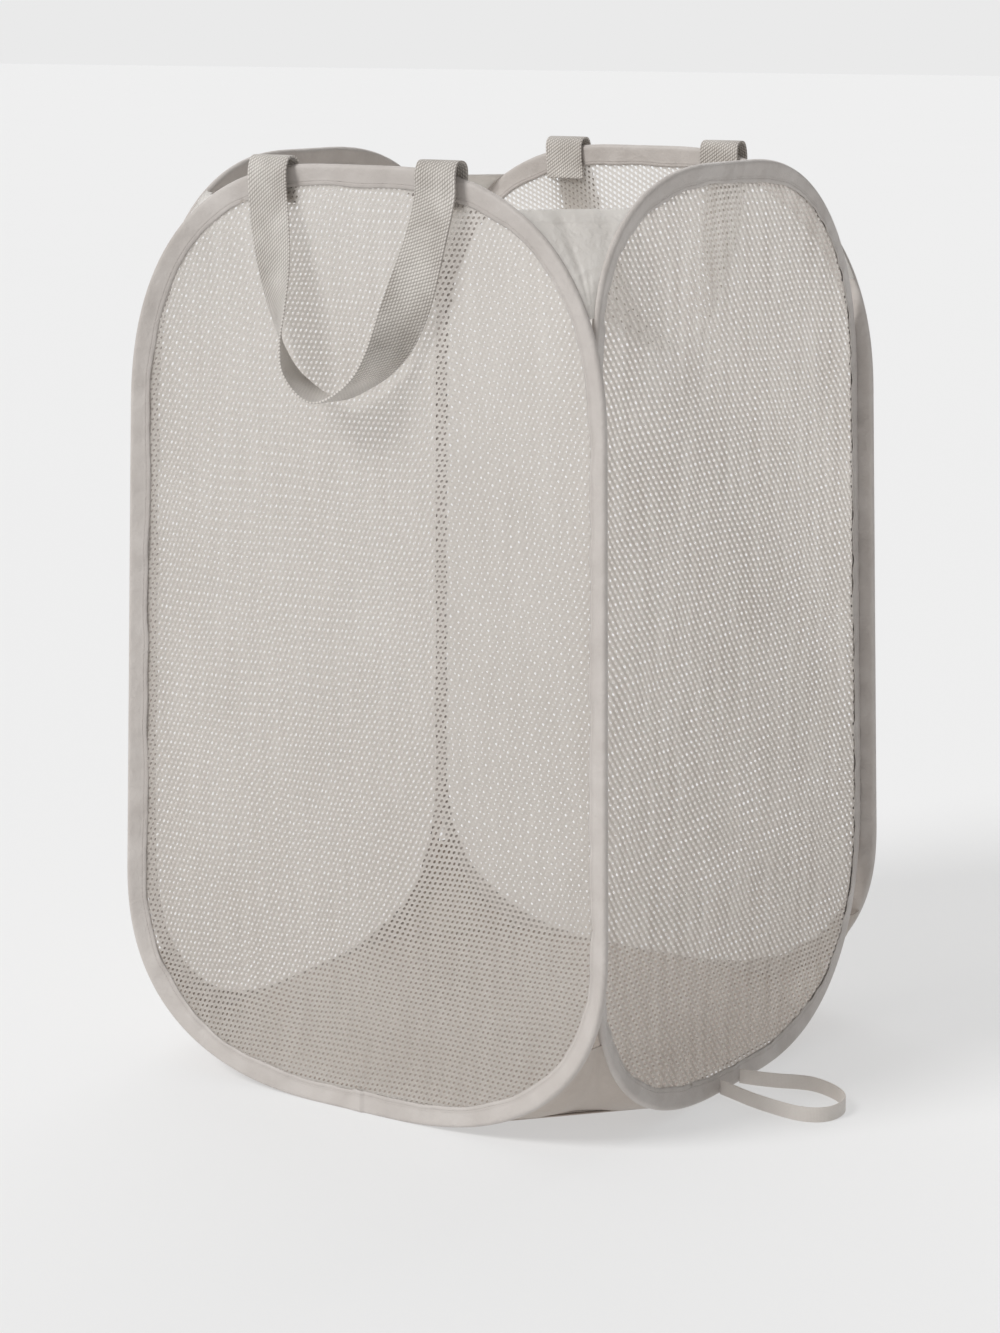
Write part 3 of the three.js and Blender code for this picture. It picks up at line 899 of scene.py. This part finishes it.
@dataclass(frozen=True)
class Studio:
    """The photograph's camera, a pale floor and soft light.

    The focal length, the aim's shift and the photograph's long side are in its pixels. The floor
    is partly lit by itself, and the camera sees a backdrop instead of the sky.
    """

    azimuth: float = 33.22
    pitch: float = 10.01
    distance: float = 2.0987
    eye_height: float = 0.7038
    focal: float = 3135.0
    aim_x: float = 10.38
    aim_y: float = 102.94
    long_side: float = 1333.0
    sensor: float = 36.0
    floor_reach: float = 30.0
    floor_colour: Colour = srgb(236, 236, 236)
    floor_glow: Colour = srgb(244, 244, 244)
    glow_share: float = 0.5
    sky_light: float = 0.34
    backdrop: Colour = srgb(234, 234, 234)
    lamps: tuple[Lamp, ...] = (Lamp("key", 2.05, 20.0, 48.0, -25.0),
                               Lamp("glow", 1.2, 70.0, 60.0, -150.0))

    def camera(self) -> None:
        """Puts the camera on its circle round the hamper, looking in and down."""
        data = bpy.data.cameras.new("camera")
        data.sensor_fit = "AUTO"
        data.sensor_width = self.sensor
        data.lens = self.focal / self.long_side * self.sensor
        data.shift_x = -self.aim_x / self.long_side
        data.shift_y = -self.aim_y / self.long_side
        data.clip_end = 100.0
        camera = link("camera", data)
        turn = math.radians(self.azimuth)
        camera.location = (math.sin(turn) * self.distance, -math.cos(turn) * self.distance,
                           self.eye_height)
        camera.rotation_euler = (math.radians(90.0 - self.pitch), 0.0, turn)
        bpy.context.scene.camera = camera

    def floor(self) -> None:
        """A wide pale floor with a faint unevenness."""
        corners = np.array([[-1, -1, 0], [1, -1, 0], [1, 1, 0], [-1, 1, 0]])
        piece = build_mesh("studio_floor", corners * self.floor_reach, [np.array([[0, 1, 2, 3]])])
        material, n, shader, surface = new_material(
            "studio floor", {"Roughness": 0.9, "Specular IOR Level": 0.1})
        shade = n.noise(n.object_place(), 1.3)
        n.feed(shader.inputs["Base Color"],
               n.mix(shade, self.floor_colour, darker(self.floor_colour, 0.985)))
        lit = n.add("ShaderNodeEmission", {0: self.floor_glow})
        n.feed(surface, n.mix_shaders(self.glow_share, shader.outputs[0], lit.outputs[0]))
        piece.data.materials.append(material)

    def sky(self) -> None:
        """An even sky, which the camera sees as a pale backdrop."""
        world = bpy.data.worlds.new("studio")
        world.use_nodes = True
        n = Nodes(world.node_tree)
        sky = n.add("ShaderNodeBackground", {0: (1.0, 1.0, 1.0), 1: self.sky_light})
        seen = n.add("ShaderNodeBackground", {0: self.backdrop})
        camera_ray = n.add("ShaderNodeLightPath").outputs["Is Camera Ray"]
        n.add("ShaderNodeOutputWorld",
              {0: n.mix_shaders(camera_ray, sky.outputs[0], seen.outputs[0])})
        bpy.context.scene.world = world
        bpy.context.scene.view_settings.view_transform = "Standard"

    def build(self) -> None:
        """Makes the camera, the floor and the light."""
        self.camera()
        self.floor()
        for lamp in self.lamps:
            lamp.build()
        self.sky()


# The pieces of cloth

@dataclass(frozen=True)
class NetPanel:
    """Knitted net stretched in one hoop: staggered holes, each in a ring of six faces.

    It follows the binding's turn at its edge. A little inside the binding's legs, by the length
    of the ease, it has reached its even recess; the search for the nearest edge ends at reach.
    """

    panel: Panel
    material: Material
    pitch_x: float
    pitch_y: float
    slant: int
    grain: float
    hole_share_x: float = 0.24
    hole_share_y: float = 0.32
    edge_inset: float = 0.0085
    relief: float = 0.00018
    wave: float = 0.0012
    drift: float = 0.0011
    drift_waves: Pair = (0.25, 0.05)
    slack_waves: Pair = (0.32, 0.08)
    slack_grows: Pair = (0.015, 0.06)
    reach: float = 0.07
    straight: Pair = (0.15, 0.43)
    ease: float = 0.045
    edge_steps: int = 600
    blocks: int = 12
    flat_at: float = 0.3
    seed: int = 11

    def inside(self, x: Array, y: Array) -> Array:
        """Whether places lie inside the net's cut edge.

        A place is inside where its x lies between the left and right edge at its height.

        Args:
            x: Places across the panel.
            y: Their heights.

        Returns:
            True or false for each place.
        """
        line = self.panel.inset(self.panel.outline(EDGE_STEPS), self.edge_inset)
        level = (y > line[:, 1].min()) & (y < line[:, 1].max())
        left, right = (self.panel.edge(y, on_right, -self.edge_inset) for on_right in (False, True))
        return level & (x > left) & (x < right)

    def drawn(self, x: Array, y: Array) -> tuple[Array, Array]:
        """The rows and columns turned by the grain and drawn out of true by smooth noise.

        Args:
            x: Places across the rows, from the panel's middle.
            y: Places along the columns, from the panel's middle.

        Returns:
            The places across the panel and their heights.
        """
        cos, sin = math.cos(math.radians(self.grain)), math.sin(math.radians(self.grain))
        x, y = x * cos - y * sin, x * sin + y * cos + SIZES.height / 2.0
        places = np.stack([x, y], axis=-1)
        seed = self.seed + 80 + self.panel.side.value
        pull_x, pull_y = (Ripples(s, *self.drift_waves).at(places) * self.drift
                          for s in (seed, seed + 5))
        return x + pull_x, y + pull_y

    def nearest_edge(self, x: Array, y: Array) -> tuple[Array, Array, Array]:
        """Distance to the hoop's outer edge, the inward normal there and the binding's turn.

        Places further inside than the reach are left at that distance, with no normal: those
        between the straight heights and 5 mm short of the sides' reach. The others take the
        nearest of the outline's places, all pairs at once in blocks.

        Args:
            x: Places across the panel, in one row.
            y: Their heights.

        Returns:
            The distance, the normal and the turn for each place.
        """
        line = self.panel.outline(self.edge_steps)
        normals, turn = inward(line), self.panel.bend(line[:, 0], line[:, 1])
        places = np.stack([x, y], axis=1)
        middle = self.panel.inset(line, self.reach)[:, 0].max() - 0.005
        inner = (np.abs(x) < middle) & (y > self.straight[0]) & (y < self.straight[1])
        depth, angle = np.full(len(x), self.reach), np.zeros(len(x))
        normal = np.zeros((len(x), 2))
        for block in np.array_split(np.flatnonzero(~inner), self.blocks):
            gap = np.linalg.norm(places[block, None] - line[None], axis=2)
            near = gap.argmin(axis=1)
            depth[block] = np.minimum(gap[np.arange(len(block)), near], self.reach)
            normal[block], angle[block] = normals[near], turn[near]
        return depth, normal, angle

    def surface(self, x: Array, y: Array, lift: float) -> Array:
        """Places on the net: behind the hoop's plane by the recess, with slack waves and relief.

        Under the binding the net follows the tape's turn; further in it reaches the even recess
        of its height.

        Args:
            x: Places across the panel.
            y: Their heights.
            lift: How far off the net's middle they are.

        Returns:
            The places in the hamper's frame.
        """
        flat_x, flat_y = np.ravel(x), np.ravel(y)
        depth, normal, angle = self.nearest_edge(flat_x, flat_y)
        even = -self.panel.recess(flat_x, flat_y)
        under = np.minimum(depth, SIZES.tape_reach)
        new_depth, off = self.panel.turned(under, np.zeros_like(under), angle)
        inner = smoothstep(depth, SIZES.tape_reach, SIZES.tape_reach + self.ease)
        z = off + (even - off) * inner
        shift = (under - new_depth) * (1.0 - inner)
        slack = Ripples(self.seed + self.panel.side.value, *self.slack_waves).at(
            np.stack([flat_x, flat_y * 0.5], axis=-1))
        z = z + slack * self.wave * smoothstep(depth, *self.slack_grows) + lift
        placed = self.panel.place(flat_x - normal[:, 0] * shift, flat_y - normal[:, 1] * shift, z)
        return placed.reshape(*np.shape(x), 3)

    def build(self) -> None:
        """Lays out the staggered cells as whole arrays and joins each hole's ring.

        Cell centres are (i + row parity / 2) * pitch_x, j * pitch_y, turned by the grain about the
        panel's middle. A cell's six corners are at (0, 2/3), (1/2, 1/3), (1/2, -1/3) and so on of
        the pitches, shared with its neighbours, and its hole's six corners lie inside them.
        """
        half_span = 0.6 * SIZES.height
        most = int(half_span / min(self.pitch_x, self.pitch_y))
        numbers = np.arange(-most, most + 1)
        j, i = np.meshgrid(numbers, numbers, indexing="ij")
        x, y = (i + (j % 2) * 0.5) * self.pitch_x, j * self.pitch_y
        keep = self.inside(*self.drawn(x, y))
        i, j, x, y = i[keep], j[keep], x[keep], y[keep]
        key_x = (2 * i + j % 2)[:, None] + np.array([0, 1, 1, 0, -1, -1])
        key_y = (3 * j)[:, None] + np.array([2, 1, -1, -2, -1, 1])
        keys, index = np.unique(np.stack([key_x.ravel(), key_y.ravel()], axis=1), axis=0,
                                return_inverse=True)
        outer_x, outer_y = keys[:, 0] * self.pitch_x / 2.0, keys[:, 1] * self.pitch_y / 3.0
        turn = np.radians([90.0, 30.0, -30.0, -90.0, -150.0, 150.0])
        index = np.asarray(index).reshape(-1, len(turn))
        half_x, half_y = self.pitch_x * self.hole_share_x, self.pitch_y * self.hole_share_y
        drop = np.sin(turn) * half_y
        slip = np.cos(turn) * half_x / math.cos(math.radians(30.0)) + drop * self.slant * 0.5
        hole_x, hole_y = x[:, None] + slip, y[:, None] + drop
        outer = self.surface(*self.drawn(outer_x, outer_y), self.relief)
        inner = self.surface(*self.drawn(hole_x, hole_y), 0.0).reshape(-1, 3)
        cells = np.arange(len(x))[:, None] * len(turn) + len(keys)
        ring = np.arange(len(turn))
        after = np.roll(ring, -1)
        quads = np.stack([index[:, ring], cells + ring, cells + after, index[:, after]],
                         axis=-1).reshape(-1, 4)
        uv = np.stack([np.append(outer_x, hole_x), np.append(outer_y, hole_y)], axis=1)
        uv[:, 0] *= self.slant
        word = self.panel.side.word
        piece = build_mesh(f"{word}_net", np.vstack([outer, inner]), [quads], uv[quads.ravel()])
        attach(piece, f"{word}_panel")
        dress(piece, self.material, "mesh", f"{word}_mesh")
        width = 2.0 * self.panel.half_width(self.flat_at)
        LOG.info("%s: %d holes", piece.name, len(x))


@dataclass(frozen=True)
class BindingTape:
    """Folded tape sewn over the hoop and the net's edge.

    Its two ends lap by the middle of the bottom: a rise with a sharp end.
    """

    panel: Panel
    material: Material
    rings: int = 1100
    bead_half: float = 0.0025
    bead_depth: float = 0.0040
    leg_half: float = 0.0009
    thickness: float = 0.0005
    pucker: float = 0.0005
    lap: float = 0.0011
    lap_run: float = 0.012
    outer_lap_at: float = 0.007
    side_lap_at: float = -0.115
    bead_steps: int = 11
    leg_steps: int = 9
    ease_before: float = 0.003
    ease_after: float = 0.001
    pucker_waves: Pair = (0.09, 0.012)
    pucker_grows: Pair = (0.002, 0.012)
    width_waves: Pair = (0.2, 0.02)
    width_change: float = 0.05
    seed: int = 31

    def lap_at(self, line: Array) -> Array:
        """How far the tape stands off where its ends lap over: a straight rise along the run.

        Args:
            line: Places of the outline.

        Returns:
            The extra height at each place.
        """
        run = line[:, 0] - (self.outer_lap_at if self.panel.outer else self.side_lap_at)
        on_lap = (line[:, 1] < 0.1) & (run > -self.lap_run) & (run < 0.0)
        return np.where(on_lap, 1.0 + run / self.lap_run, 0.0) * self.lap

    def profile(self) -> Array:
        """The tape's section as depth, height off the panel and place across the tape.

        The outside follows a half circle round the hoop and eases by a smooth step to the two
        legs; the inside follows it one tape thickness further in, and both end at the legs' edge.

        Returns:
            One row for each place of the closed section.
        """
        turn = np.linspace(-math.pi / 2.0, math.pi / 2.0, self.bead_steps)
        radius, reach = self.bead_half, SIZES.tape_reach
        bead = np.stack([radius - radius * np.cos(turn), radius * np.sin(turn)], axis=1)
        leg = np.linspace(self.bead_depth, reach, self.leg_steps)
        ease = 1.0 - smoothstep(leg, self.bead_depth - self.ease_before, reach + self.ease_after)
        upper = np.stack([leg, self.leg_half + (radius - self.leg_half) * ease], axis=1)
        lower = upper[::-1] * (1.0, -1.0)
        outside = np.vstack([lower, bead, upper])
        inside = outside - left_of(np.gradient(outside, axis=0)) * self.thickness
        run = running(outside)
        return np.column_stack([np.vstack([outside, inside[::-1]]), np.append(run, run[::-1])])

    def build(self) -> None:
        """Carries the section round the hoop, puckered by smooth noise along the tape."""
        line = self.panel.outline(self.rings)
        depth, off, across = self.profile().T
        run = running(np.vstack([line, line[:1]]))
        seed = self.seed + self.panel.side.value
        place = np.stack([run[:-1], np.zeros(self.rings)], axis=1)
        slack = Ripples(seed, *self.pucker_waves).at(place)[:, None] * self.pucker
        wider = self.width_change * Ripples(seed + 9, *self.width_waves).at(place)[:, None]
        shift = slack * smoothstep(depth, *self.pucker_grows)
        shift = shift + self.lap_at(line)[:, None] * np.sign(off)
        angle = self.panel.bend(line[:, 0], line[:, 1])[:, None]
        depth = depth * (1.0 + wider * (depth > self.bead_depth))
        depth, off = self.panel.turned(depth, off + shift, angle)
        points = np.stack([self.panel.inset(line, column) for column in depth.T], axis=1)
        points[..., 1] = np.maximum(points[..., 1], SIZES.foot_flat)
        placed = self.panel.place(points[..., 0], points[..., 1], off)
        uv = grid_uv(run[:, None], np.append(across, across[0]))
        word = self.panel.side.word
        piece = grid_piece(f"{word}_binding_tape", placed, uv, closed_rows=True,
                           closed_columns=True)
        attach(piece, f"{word}_panel")
        dress(piece, self.material, "binding", f"{word}_binding")
        LOG.info("%s: %.3f m round", piece.name, run[-1])


class Folding(Enum):
    """What a corner's gussets do as the hamper folds."""

    SHUT = "the corner closes and they turn with both panels"
    ON_FRONT = "the corner opens and they lie flat on the front panel"
    ON_LEFT = "the corner opens and they lie flat on the left panel"


@dataclass(frozen=True)
class CornerGussets:
    """The two pieces of taffeta that close one corner, above and below the seam."""

    before: Panel
    after: Panel
    folding: Folding
    material: Material
    low_material: Material
    tip_width: float = 0.0003
    hem_drop: float = 0.024
    hem_height: float = 0.007
    hem_rise: float = 0.0007
    hem_step: float = 0.0008
    under_tape: float = 0.0012
    foot: float = 0.0143
    sag: float = 0.004
    sag_width: float = 0.08
    taut_width: float = 0.06
    crease: float = 0.0012
    crease_waves: Pair = (0.09, 0.03)
    crease_fan: tuple[float, float, float] = (0.16, 0.12, 0.5)
    fold: float = 0.0022
    fold_waves: tuple[float, float, int] = (1.0, 0.35, 6)
    fold_fan: Pair = (6.0, 2.0)
    thickness: float = 0.0006
    squashed: float = 0.03
    least_fill: float = 0.31
    search: int = 800
    threads: int = 72
    places: int = 41
    seed: int = 50

    def name(self) -> str:
        """The corner's name, such as front_right."""
        words = (self.before.side.word, self.after.side.word)
        return "_".join(sorted(words, key=("front", "back", "right", "left").index))

    def opening(self, y: Array) -> Array:
        """How far both hoops have turned away from the corner: the smaller of both distances.

        Args:
            y: Heights on the panels.

        Returns:
            The opening at each height.
        """
        turned = []
        for panel, right in ((self.before, True), (self.after, False)):
            proud = SIZES.outer_proud if panel.outer else 0.0
            turned.append(panel.half_width(y) - proud - np.abs(panel.edge(y, right, 0.0)))
        return np.minimum(*turned)

    def let_in(self, heights: Array, width: Array, share: Array, hem: bool, seed: int) -> Array:
        """How far the cloth stands off the straight threads.

        A parabola of the sag lets it in; creases and sharper folds fan out from the tip; the hem
        is one step thicker.

        Args:
            heights: Heights of the threads, from the tip on.
            width: Length of each thread.
            share: Places along the threads, 0 to 1.
            hem: Whether the last stretch is a folded hem.
            seed: Seed of the creases.

        Returns:
            One height for each thread and share.
        """
        grown = np.abs(heights - heights[0])[:, None]
        taut = smoothstep(width, 0.0, self.taut_width)[:, None] * 4.0 * share * (1.0 - share)
        along, slant, up = self.crease_fan
        ripple = Ripples(seed, *self.crease_waves).at(
            grid_uv(share * along + grown * slant, grown * up))
        slant, up = self.fold_fan
        folds = Ripples(seed + 3, *self.fold_waves).at(grid_uv(share + grown * slant, grown * up))
        raised = -self.sag * taut * (width[:, None] / self.sag_width)
        raised = raised + self.crease * ripple * taut + self.fold * (1.0 - np.abs(folds)) * taut
        if hem:
            start = heights[-1] - self.hem_height
            level = smoothstep(heights, start - self.hem_step, start)[:, None]
            raised = raised + self.hem_rise * level
        return raised

    def piece(self, place: str, last: float, seed: int) -> None:
        """A run of level threads between the two hoops, from the tip to the far edge.

        Args:
            place: top or bottom.
            last: Height of the far edge.
            seed: Seed of the creases.
        """
        y = np.linspace(SIZES.height / 2.0, last, self.search)
        tip = y[np.argmax(self.opening(y) > self.tip_width)]
        heights = np.linspace(tip, last, self.threads)
        start, end = (panel.place(panel.edge(heights, right, -self.under_tape), heights, 0.0)
                      for panel, right in ((self.before, True), (self.after, False)))
        share = np.linspace(0.0, 1.0, self.places)
        line = start[:, None] + (end - start)[:, None] * share[None, :, None]
        width = np.linalg.norm(end - start, axis=1)
        out = normalised(np.cross(end - start, [0.0, 0.0, 1.0]))[:, None, :]
        hem = place == "top"
        placed = line + out * self.let_in(heights, width, share, hem, seed)[..., None]
        uv = grid_uv(share * width[:, None], heights[:, None])
        piece = grid_piece(f"{place}_gusset_cloth_{self.name()}", placed, uv)
        dress(piece, self.material if hem else self.low_material, "gusset",
              f"{place}_gusset_{self.name()}")
        solid = piece.modifiers.new("cloth", "SOLIDIFY")
        solid.thickness = self.thickness
        solid.offset = 0.0
        if self.folding is Folding.SHUT:
            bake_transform(piece)
        elif self.folding is Folding.ON_FRONT:
            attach(piece, "front_panel")
            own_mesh(piece)
        else:
            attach(piece, "left_panel")
            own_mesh(piece)

    def build(self) -> None:
        """Makes the upper and the lower gusset of the corner."""
        seed = self.seed + self.before.side.value
        self.piece("top", SIZES.height - self.hem_drop, seed)
        self.piece("bottom", self.foot, seed + 10)
        LOG.info("gussets %s", self.name())


@dataclass(frozen=True)
class BaseCloth:
    """The eight-sided base, sewn to the panels and gussets just above the floor."""

    material: Material
    height: float = 0.0132
    crease: float = 0.0016
    crease_waves: Pair = (0.25, 0.05)
    sag: float = 0.004
    flat_power: int = 6
    rings: int = 70
    thickness: float = 0.0008
    squashed: float = 0.004
    seed: int = 77

    def rim(self) -> Array:
        """The base's edge: straight lines between the inner sides of the hoops.

        Returns:
            Places at equal steps.
        """
        y, inner = np.array([self.height]), -(SIZES.bead_half + SIZES.seam_gap)
        corners = [PANELS[at].place(PANELS[at].edge(y, on_right, 0.0), y, inner)[0]
                   for side in Side for at, on_right in ((side, True), (side.after, False))]
        return resample(np.array(corners), RIM_STEPS, closed=True)

    def build(self) -> None:
        """Scales the edge towards the middle in even steps and lays smooth creases over it."""
        rim = self.rim()
        share = np.linspace(0.0, 1.0, self.rings)[1:]
        points = rim[None] * share[:, None, None]
        ripple = Ripples(self.seed, *self.crease_waves).at(points[..., :2])
        room = (1.0 - share ** self.flat_power)[:, None]
        points[..., 2] = self.height + (ripple * self.crease * room - self.sag * room)
        uv = np.concatenate([points, points[:, :1]], axis=1)[..., :2]
        piece = grid_piece("base_cloth", points, uv, closed_columns=True)
        piece.modifiers.new("cloth", "SOLIDIFY").thickness = self.thickness
        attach(piece, "front_panel")
        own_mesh(piece)
        dress(piece, self.material, "base", "base_panel")


def carry_webbing(path: Array, across: Array, width: float,
                  thickness: float) -> tuple[Array, Array]:
    """Carries a rounded flat section along a path.

    The section is a flattened ring: across by half the width times a power of the cosine, and out
    by half the thickness times a power of the sine, with slightly thicker selvedges.

    Args:
        path: Middle line, one place per row.
        across: Width direction at each place.
        width: Of the webbing.
        thickness: Of the webbing.

    Returns:
        The grid of places and its UV, with the running length along and the place across.
    """
    along = normalised(np.gradient(path, axis=0))
    across = normalised(across - along * np.sum(across * along, axis=1, keepdims=True))
    face = np.cross(along, across)
    count, across_power, out_power, selvedge, inner, outer = 28, 0.5, 0.25, 0.12, 0.82, 0.93
    turn = np.linspace(0.0, 2.0 * math.pi, count, endpoint=False)
    side = np.sign(np.cos(turn)) * np.abs(np.cos(turn)) ** across_power
    off = np.sign(np.sin(turn)) * np.abs(np.sin(turn)) ** out_power
    off = off * (1.0 + selvedge * smoothstep(np.abs(side), inner, outer))
    points = path[:, None] + across[:, None] * (side * width / 2.0)[None, :, None] \
        + face[:, None] * (off * thickness / 2.0)[None, :, None]
    lateral = np.append(side, side[0]) * width / 2.0 + width / 2.0
    return points, grid_uv(running(path)[:, None], lateral)


@dataclass(frozen=True)
class CarryHandle:
    """Webbing sewn inside the top edge, over it, and hanging in a loop with a twist in each leg.

    The two hinge places are given as the distance from the hamper's middle and the height.
    Clearances are off the panel's plane.
    """

    panel: Panel
    material: Material
    width: float = 0.030
    thickness: float = 0.0016
    spacing: float = 0.128
    drop: float = 0.143
    sway: float = 0.011
    stand_off: float = 0.019
    sewn: float = 0.022
    arch: float = 0.007
    leg_off: float = 0.009
    leg_clear: float = 0.0018
    bead_clear: float = 0.0033
    bead_step: float = 0.004
    below_bead: float = 0.006
    twists: tuple[Pair, ...] = ((0.12, 0.51), (0.49, 0.88))
    edge_steps: int = 2000
    steps: int = 360
    hinge_start: Pair = (0.1724, 0.617)
    hinge_end: Pair = (0.1763, 0.6168)

    def top_edge(self, x: float) -> float:
        """How high the hoop's top edge is.

        Args:
            x: Place right of the hoop's middle.

        Returns:
            The height there.
        """
        line = self.panel.outline(self.edge_steps)
        part = line[(line[:, 0] > 0.0) & (line[:, 1] > SIZES.height / 2.0)]
        part = part[np.argsort(part[:, 0])]
        return float(np.interp(x, part[:, 0], part[:, 1]))

    def route(self) -> tuple[Array, Array]:
        """The middle line on the panel and how far the webbing has turned along it.

        Each end climbs inside the binding's leg, steps back round its bead and arches over the
        edge. The loop is given as shares of its half spacing, its drop and its stand-off.

        Returns:
            Places as x, y, z of the panel, and the turn in radians at each.
        """
        reach = self.spacing / 2.0
        low, edge, high = (self.top_edge(reach + k * self.width / 2.0) for k in (1, 0, -1))
        half = self.thickness / 2.0
        over_leg, over_bead = -(self.leg_clear + half), -(self.bead_clear + half)
        bead, top, step = low - self.below_bead, edge + self.arch, self.bead_step
        inner = [(edge - self.sewn, over_leg), (bead - 2.0 * step, over_leg),
                 (bead - step, (over_leg * 3 + over_bead) / 4),
                 (bead, (over_leg + over_bead * 3) / 4), (bead + step, over_bead),
                 (high, over_bead), (edge + self.arch * 0.75, over_bead * 0.66), (top, half),
                 (top - half, self.leg_off * 0.66), (edge, self.leg_off)]
        leg = [(-1.0, 0.09, 0.47), (-0.94, 0.25, 0.54), (-0.85, 0.43, 0.63),
               (-0.75, 0.61, 0.74), (-0.63, 0.77, 0.85), (-0.43, 0.90, 0.94)]
        hang = [*leg, (0.0, 1.0, 1.0), *((-a, d, o) for a, d, o in leg[::-1])]
        loop = [(reach * a - self.sway * d ** 2, edge - self.drop * d, self.stand_off * o)
                for a, d, o in hang]
        ends = [[(x, y, z) for y, z in inner] for x in (-reach, reach)]
        path = smooth_path(np.array([*ends[0], *loop, *ends[1][::-1]]), self.steps)
        run = running(path)
        first, last = run[path[:, 1] > edge + self.arch * 0.9][[0, -1]]
        share = (run - first) / (last - first)
        turned = sum(smoothstep(share, *twist) for twist in self.twists)
        return path, turned * math.pi / 2.0

    def build(self) -> None:
        """Carries the webbing along its route."""
        path, turned = self.route()
        across = np.stack([np.cos(turned), np.zeros_like(turned), np.sin(turned)], axis=1)
        points, uv = carry_webbing(path, across, self.width, self.thickness)
        word = self.panel.side.word
        piece = grid_piece(f"{word}_webbing_handle", self.panel.place(*np.moveaxis(points, -1, 0)),
                           uv, closed_columns=True, caps=True)
        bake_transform(piece)
        dress(piece, self.material, "webbing", f"{word}_handle", f"{word}_handle_end_left",
              f"{word}_handle_end_right")
        LOG.info("%s handle %.3f m", word, float(uv[-1, 0, 0]))


@dataclass(frozen=True)
class ClosureLoop:
    """Narrow tape under the right panel that holds the folded hamper shut.

    Its route over the floor is in millimetres: out from the hoop and along it.
    """

    material: Material
    width: float = 0.010
    thickness: float = 0.0010
    lift: float = 0.0002
    steps: int = 240
    route: tuple[Pair, ...] = (
        (0, -28), (14, -33), (28, -38), (42, -41.5), (56, -44), (68, -44.5), (78, -41), (84, -34),
        (86, -24), (84, -13), (78, -4), (69, 3), (58, 8), (48, 10), (38, 8), (28, 4), (18, 1),
        (9, -1), (0, -2))

    def build(self) -> None:
        """Carries the tape along its route on the floor, on its lower edge."""
        out, along = np.array(self.route).T / 1000.0
        foot = spread(SIZES.left_to_right, 0.0) + SIZES.bead_half + SIZES.seam_gap
        up = np.full(len(out), self.width / 2.0 + self.lift)
        path = smooth_path(np.column_stack([out + foot, along, up]), self.steps)
        across = np.tile([0.0, 0.0, 1.0], (len(path), 1))
        points, uv = carry_webbing(path, across, self.width, self.thickness)
        piece = grid_piece("closure_loop_tape", points, uv, closed_columns=True, caps=True)
        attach(piece, "closure_loop")
        dress(piece, self.material, "loop_tape", "closure_loop")


def dress_metal() -> None:
    """Gives the hoops and their sleeves their metal finishes."""
    steel = MetalFinish("spring steel", (0.45, 0.45, 0.46), 0.28).make()
    crimp = MetalFinish("crimped sleeve", (0.62, 0.61, 0.59), 0.34).make()
    for side in Side:
        for kind, material in (("hoop_wire", steel), ("wire_sleeve", crimp)):
            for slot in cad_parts[f"{side.word}_{kind}"].material_slots:
                slot.material = material


def main() -> None:
    """Builds the hamper's pieces in order."""
    logging.basicConfig(level=logging.INFO, format="%(name)s %(message)s")
    Studio().build()
    made = {key: finish.make() for key, finish in FINISHES.items()}
    ClosureLoop(made["loop_tape"]).build()
    slants = {Side.FRONT: (1, 1.0), Side.RIGHT: (-1, -1.5),
              Side.BACK: (-1, 88.0), Side.LEFT: (1, 92.0)}
    for side, panel in PANELS.items():
        BindingTape(panel, made["binding"]).build()
        # the right panel takes the net with painted shade
        knit = "side_net_with_painted_shade" if side is Side.RIGHT else "net"
        NetPanel(panel, made[knit], *FINISHES[knit].knit, *slants[side]).build()
    folding = {Side.FRONT: Folding.ON_FRONT, Side.RIGHT: Folding.SHUT,
               Side.BACK: Folding.ON_LEFT, Side.LEFT: Folding.SHUT}
    for side, panel in PANELS.items():
        CornerGussets(panel, PANELS[side.after], folding[side], made["gusset"],
                      made["low_gusset"]).build()
    BaseCloth(made["base"]).build()
    for side in (Side.FRONT, Side.BACK):
        CarryHandle(PANELS[side], made["webbing"]).build()
    dress_metal()


if __name__ == "__main__":
    main()
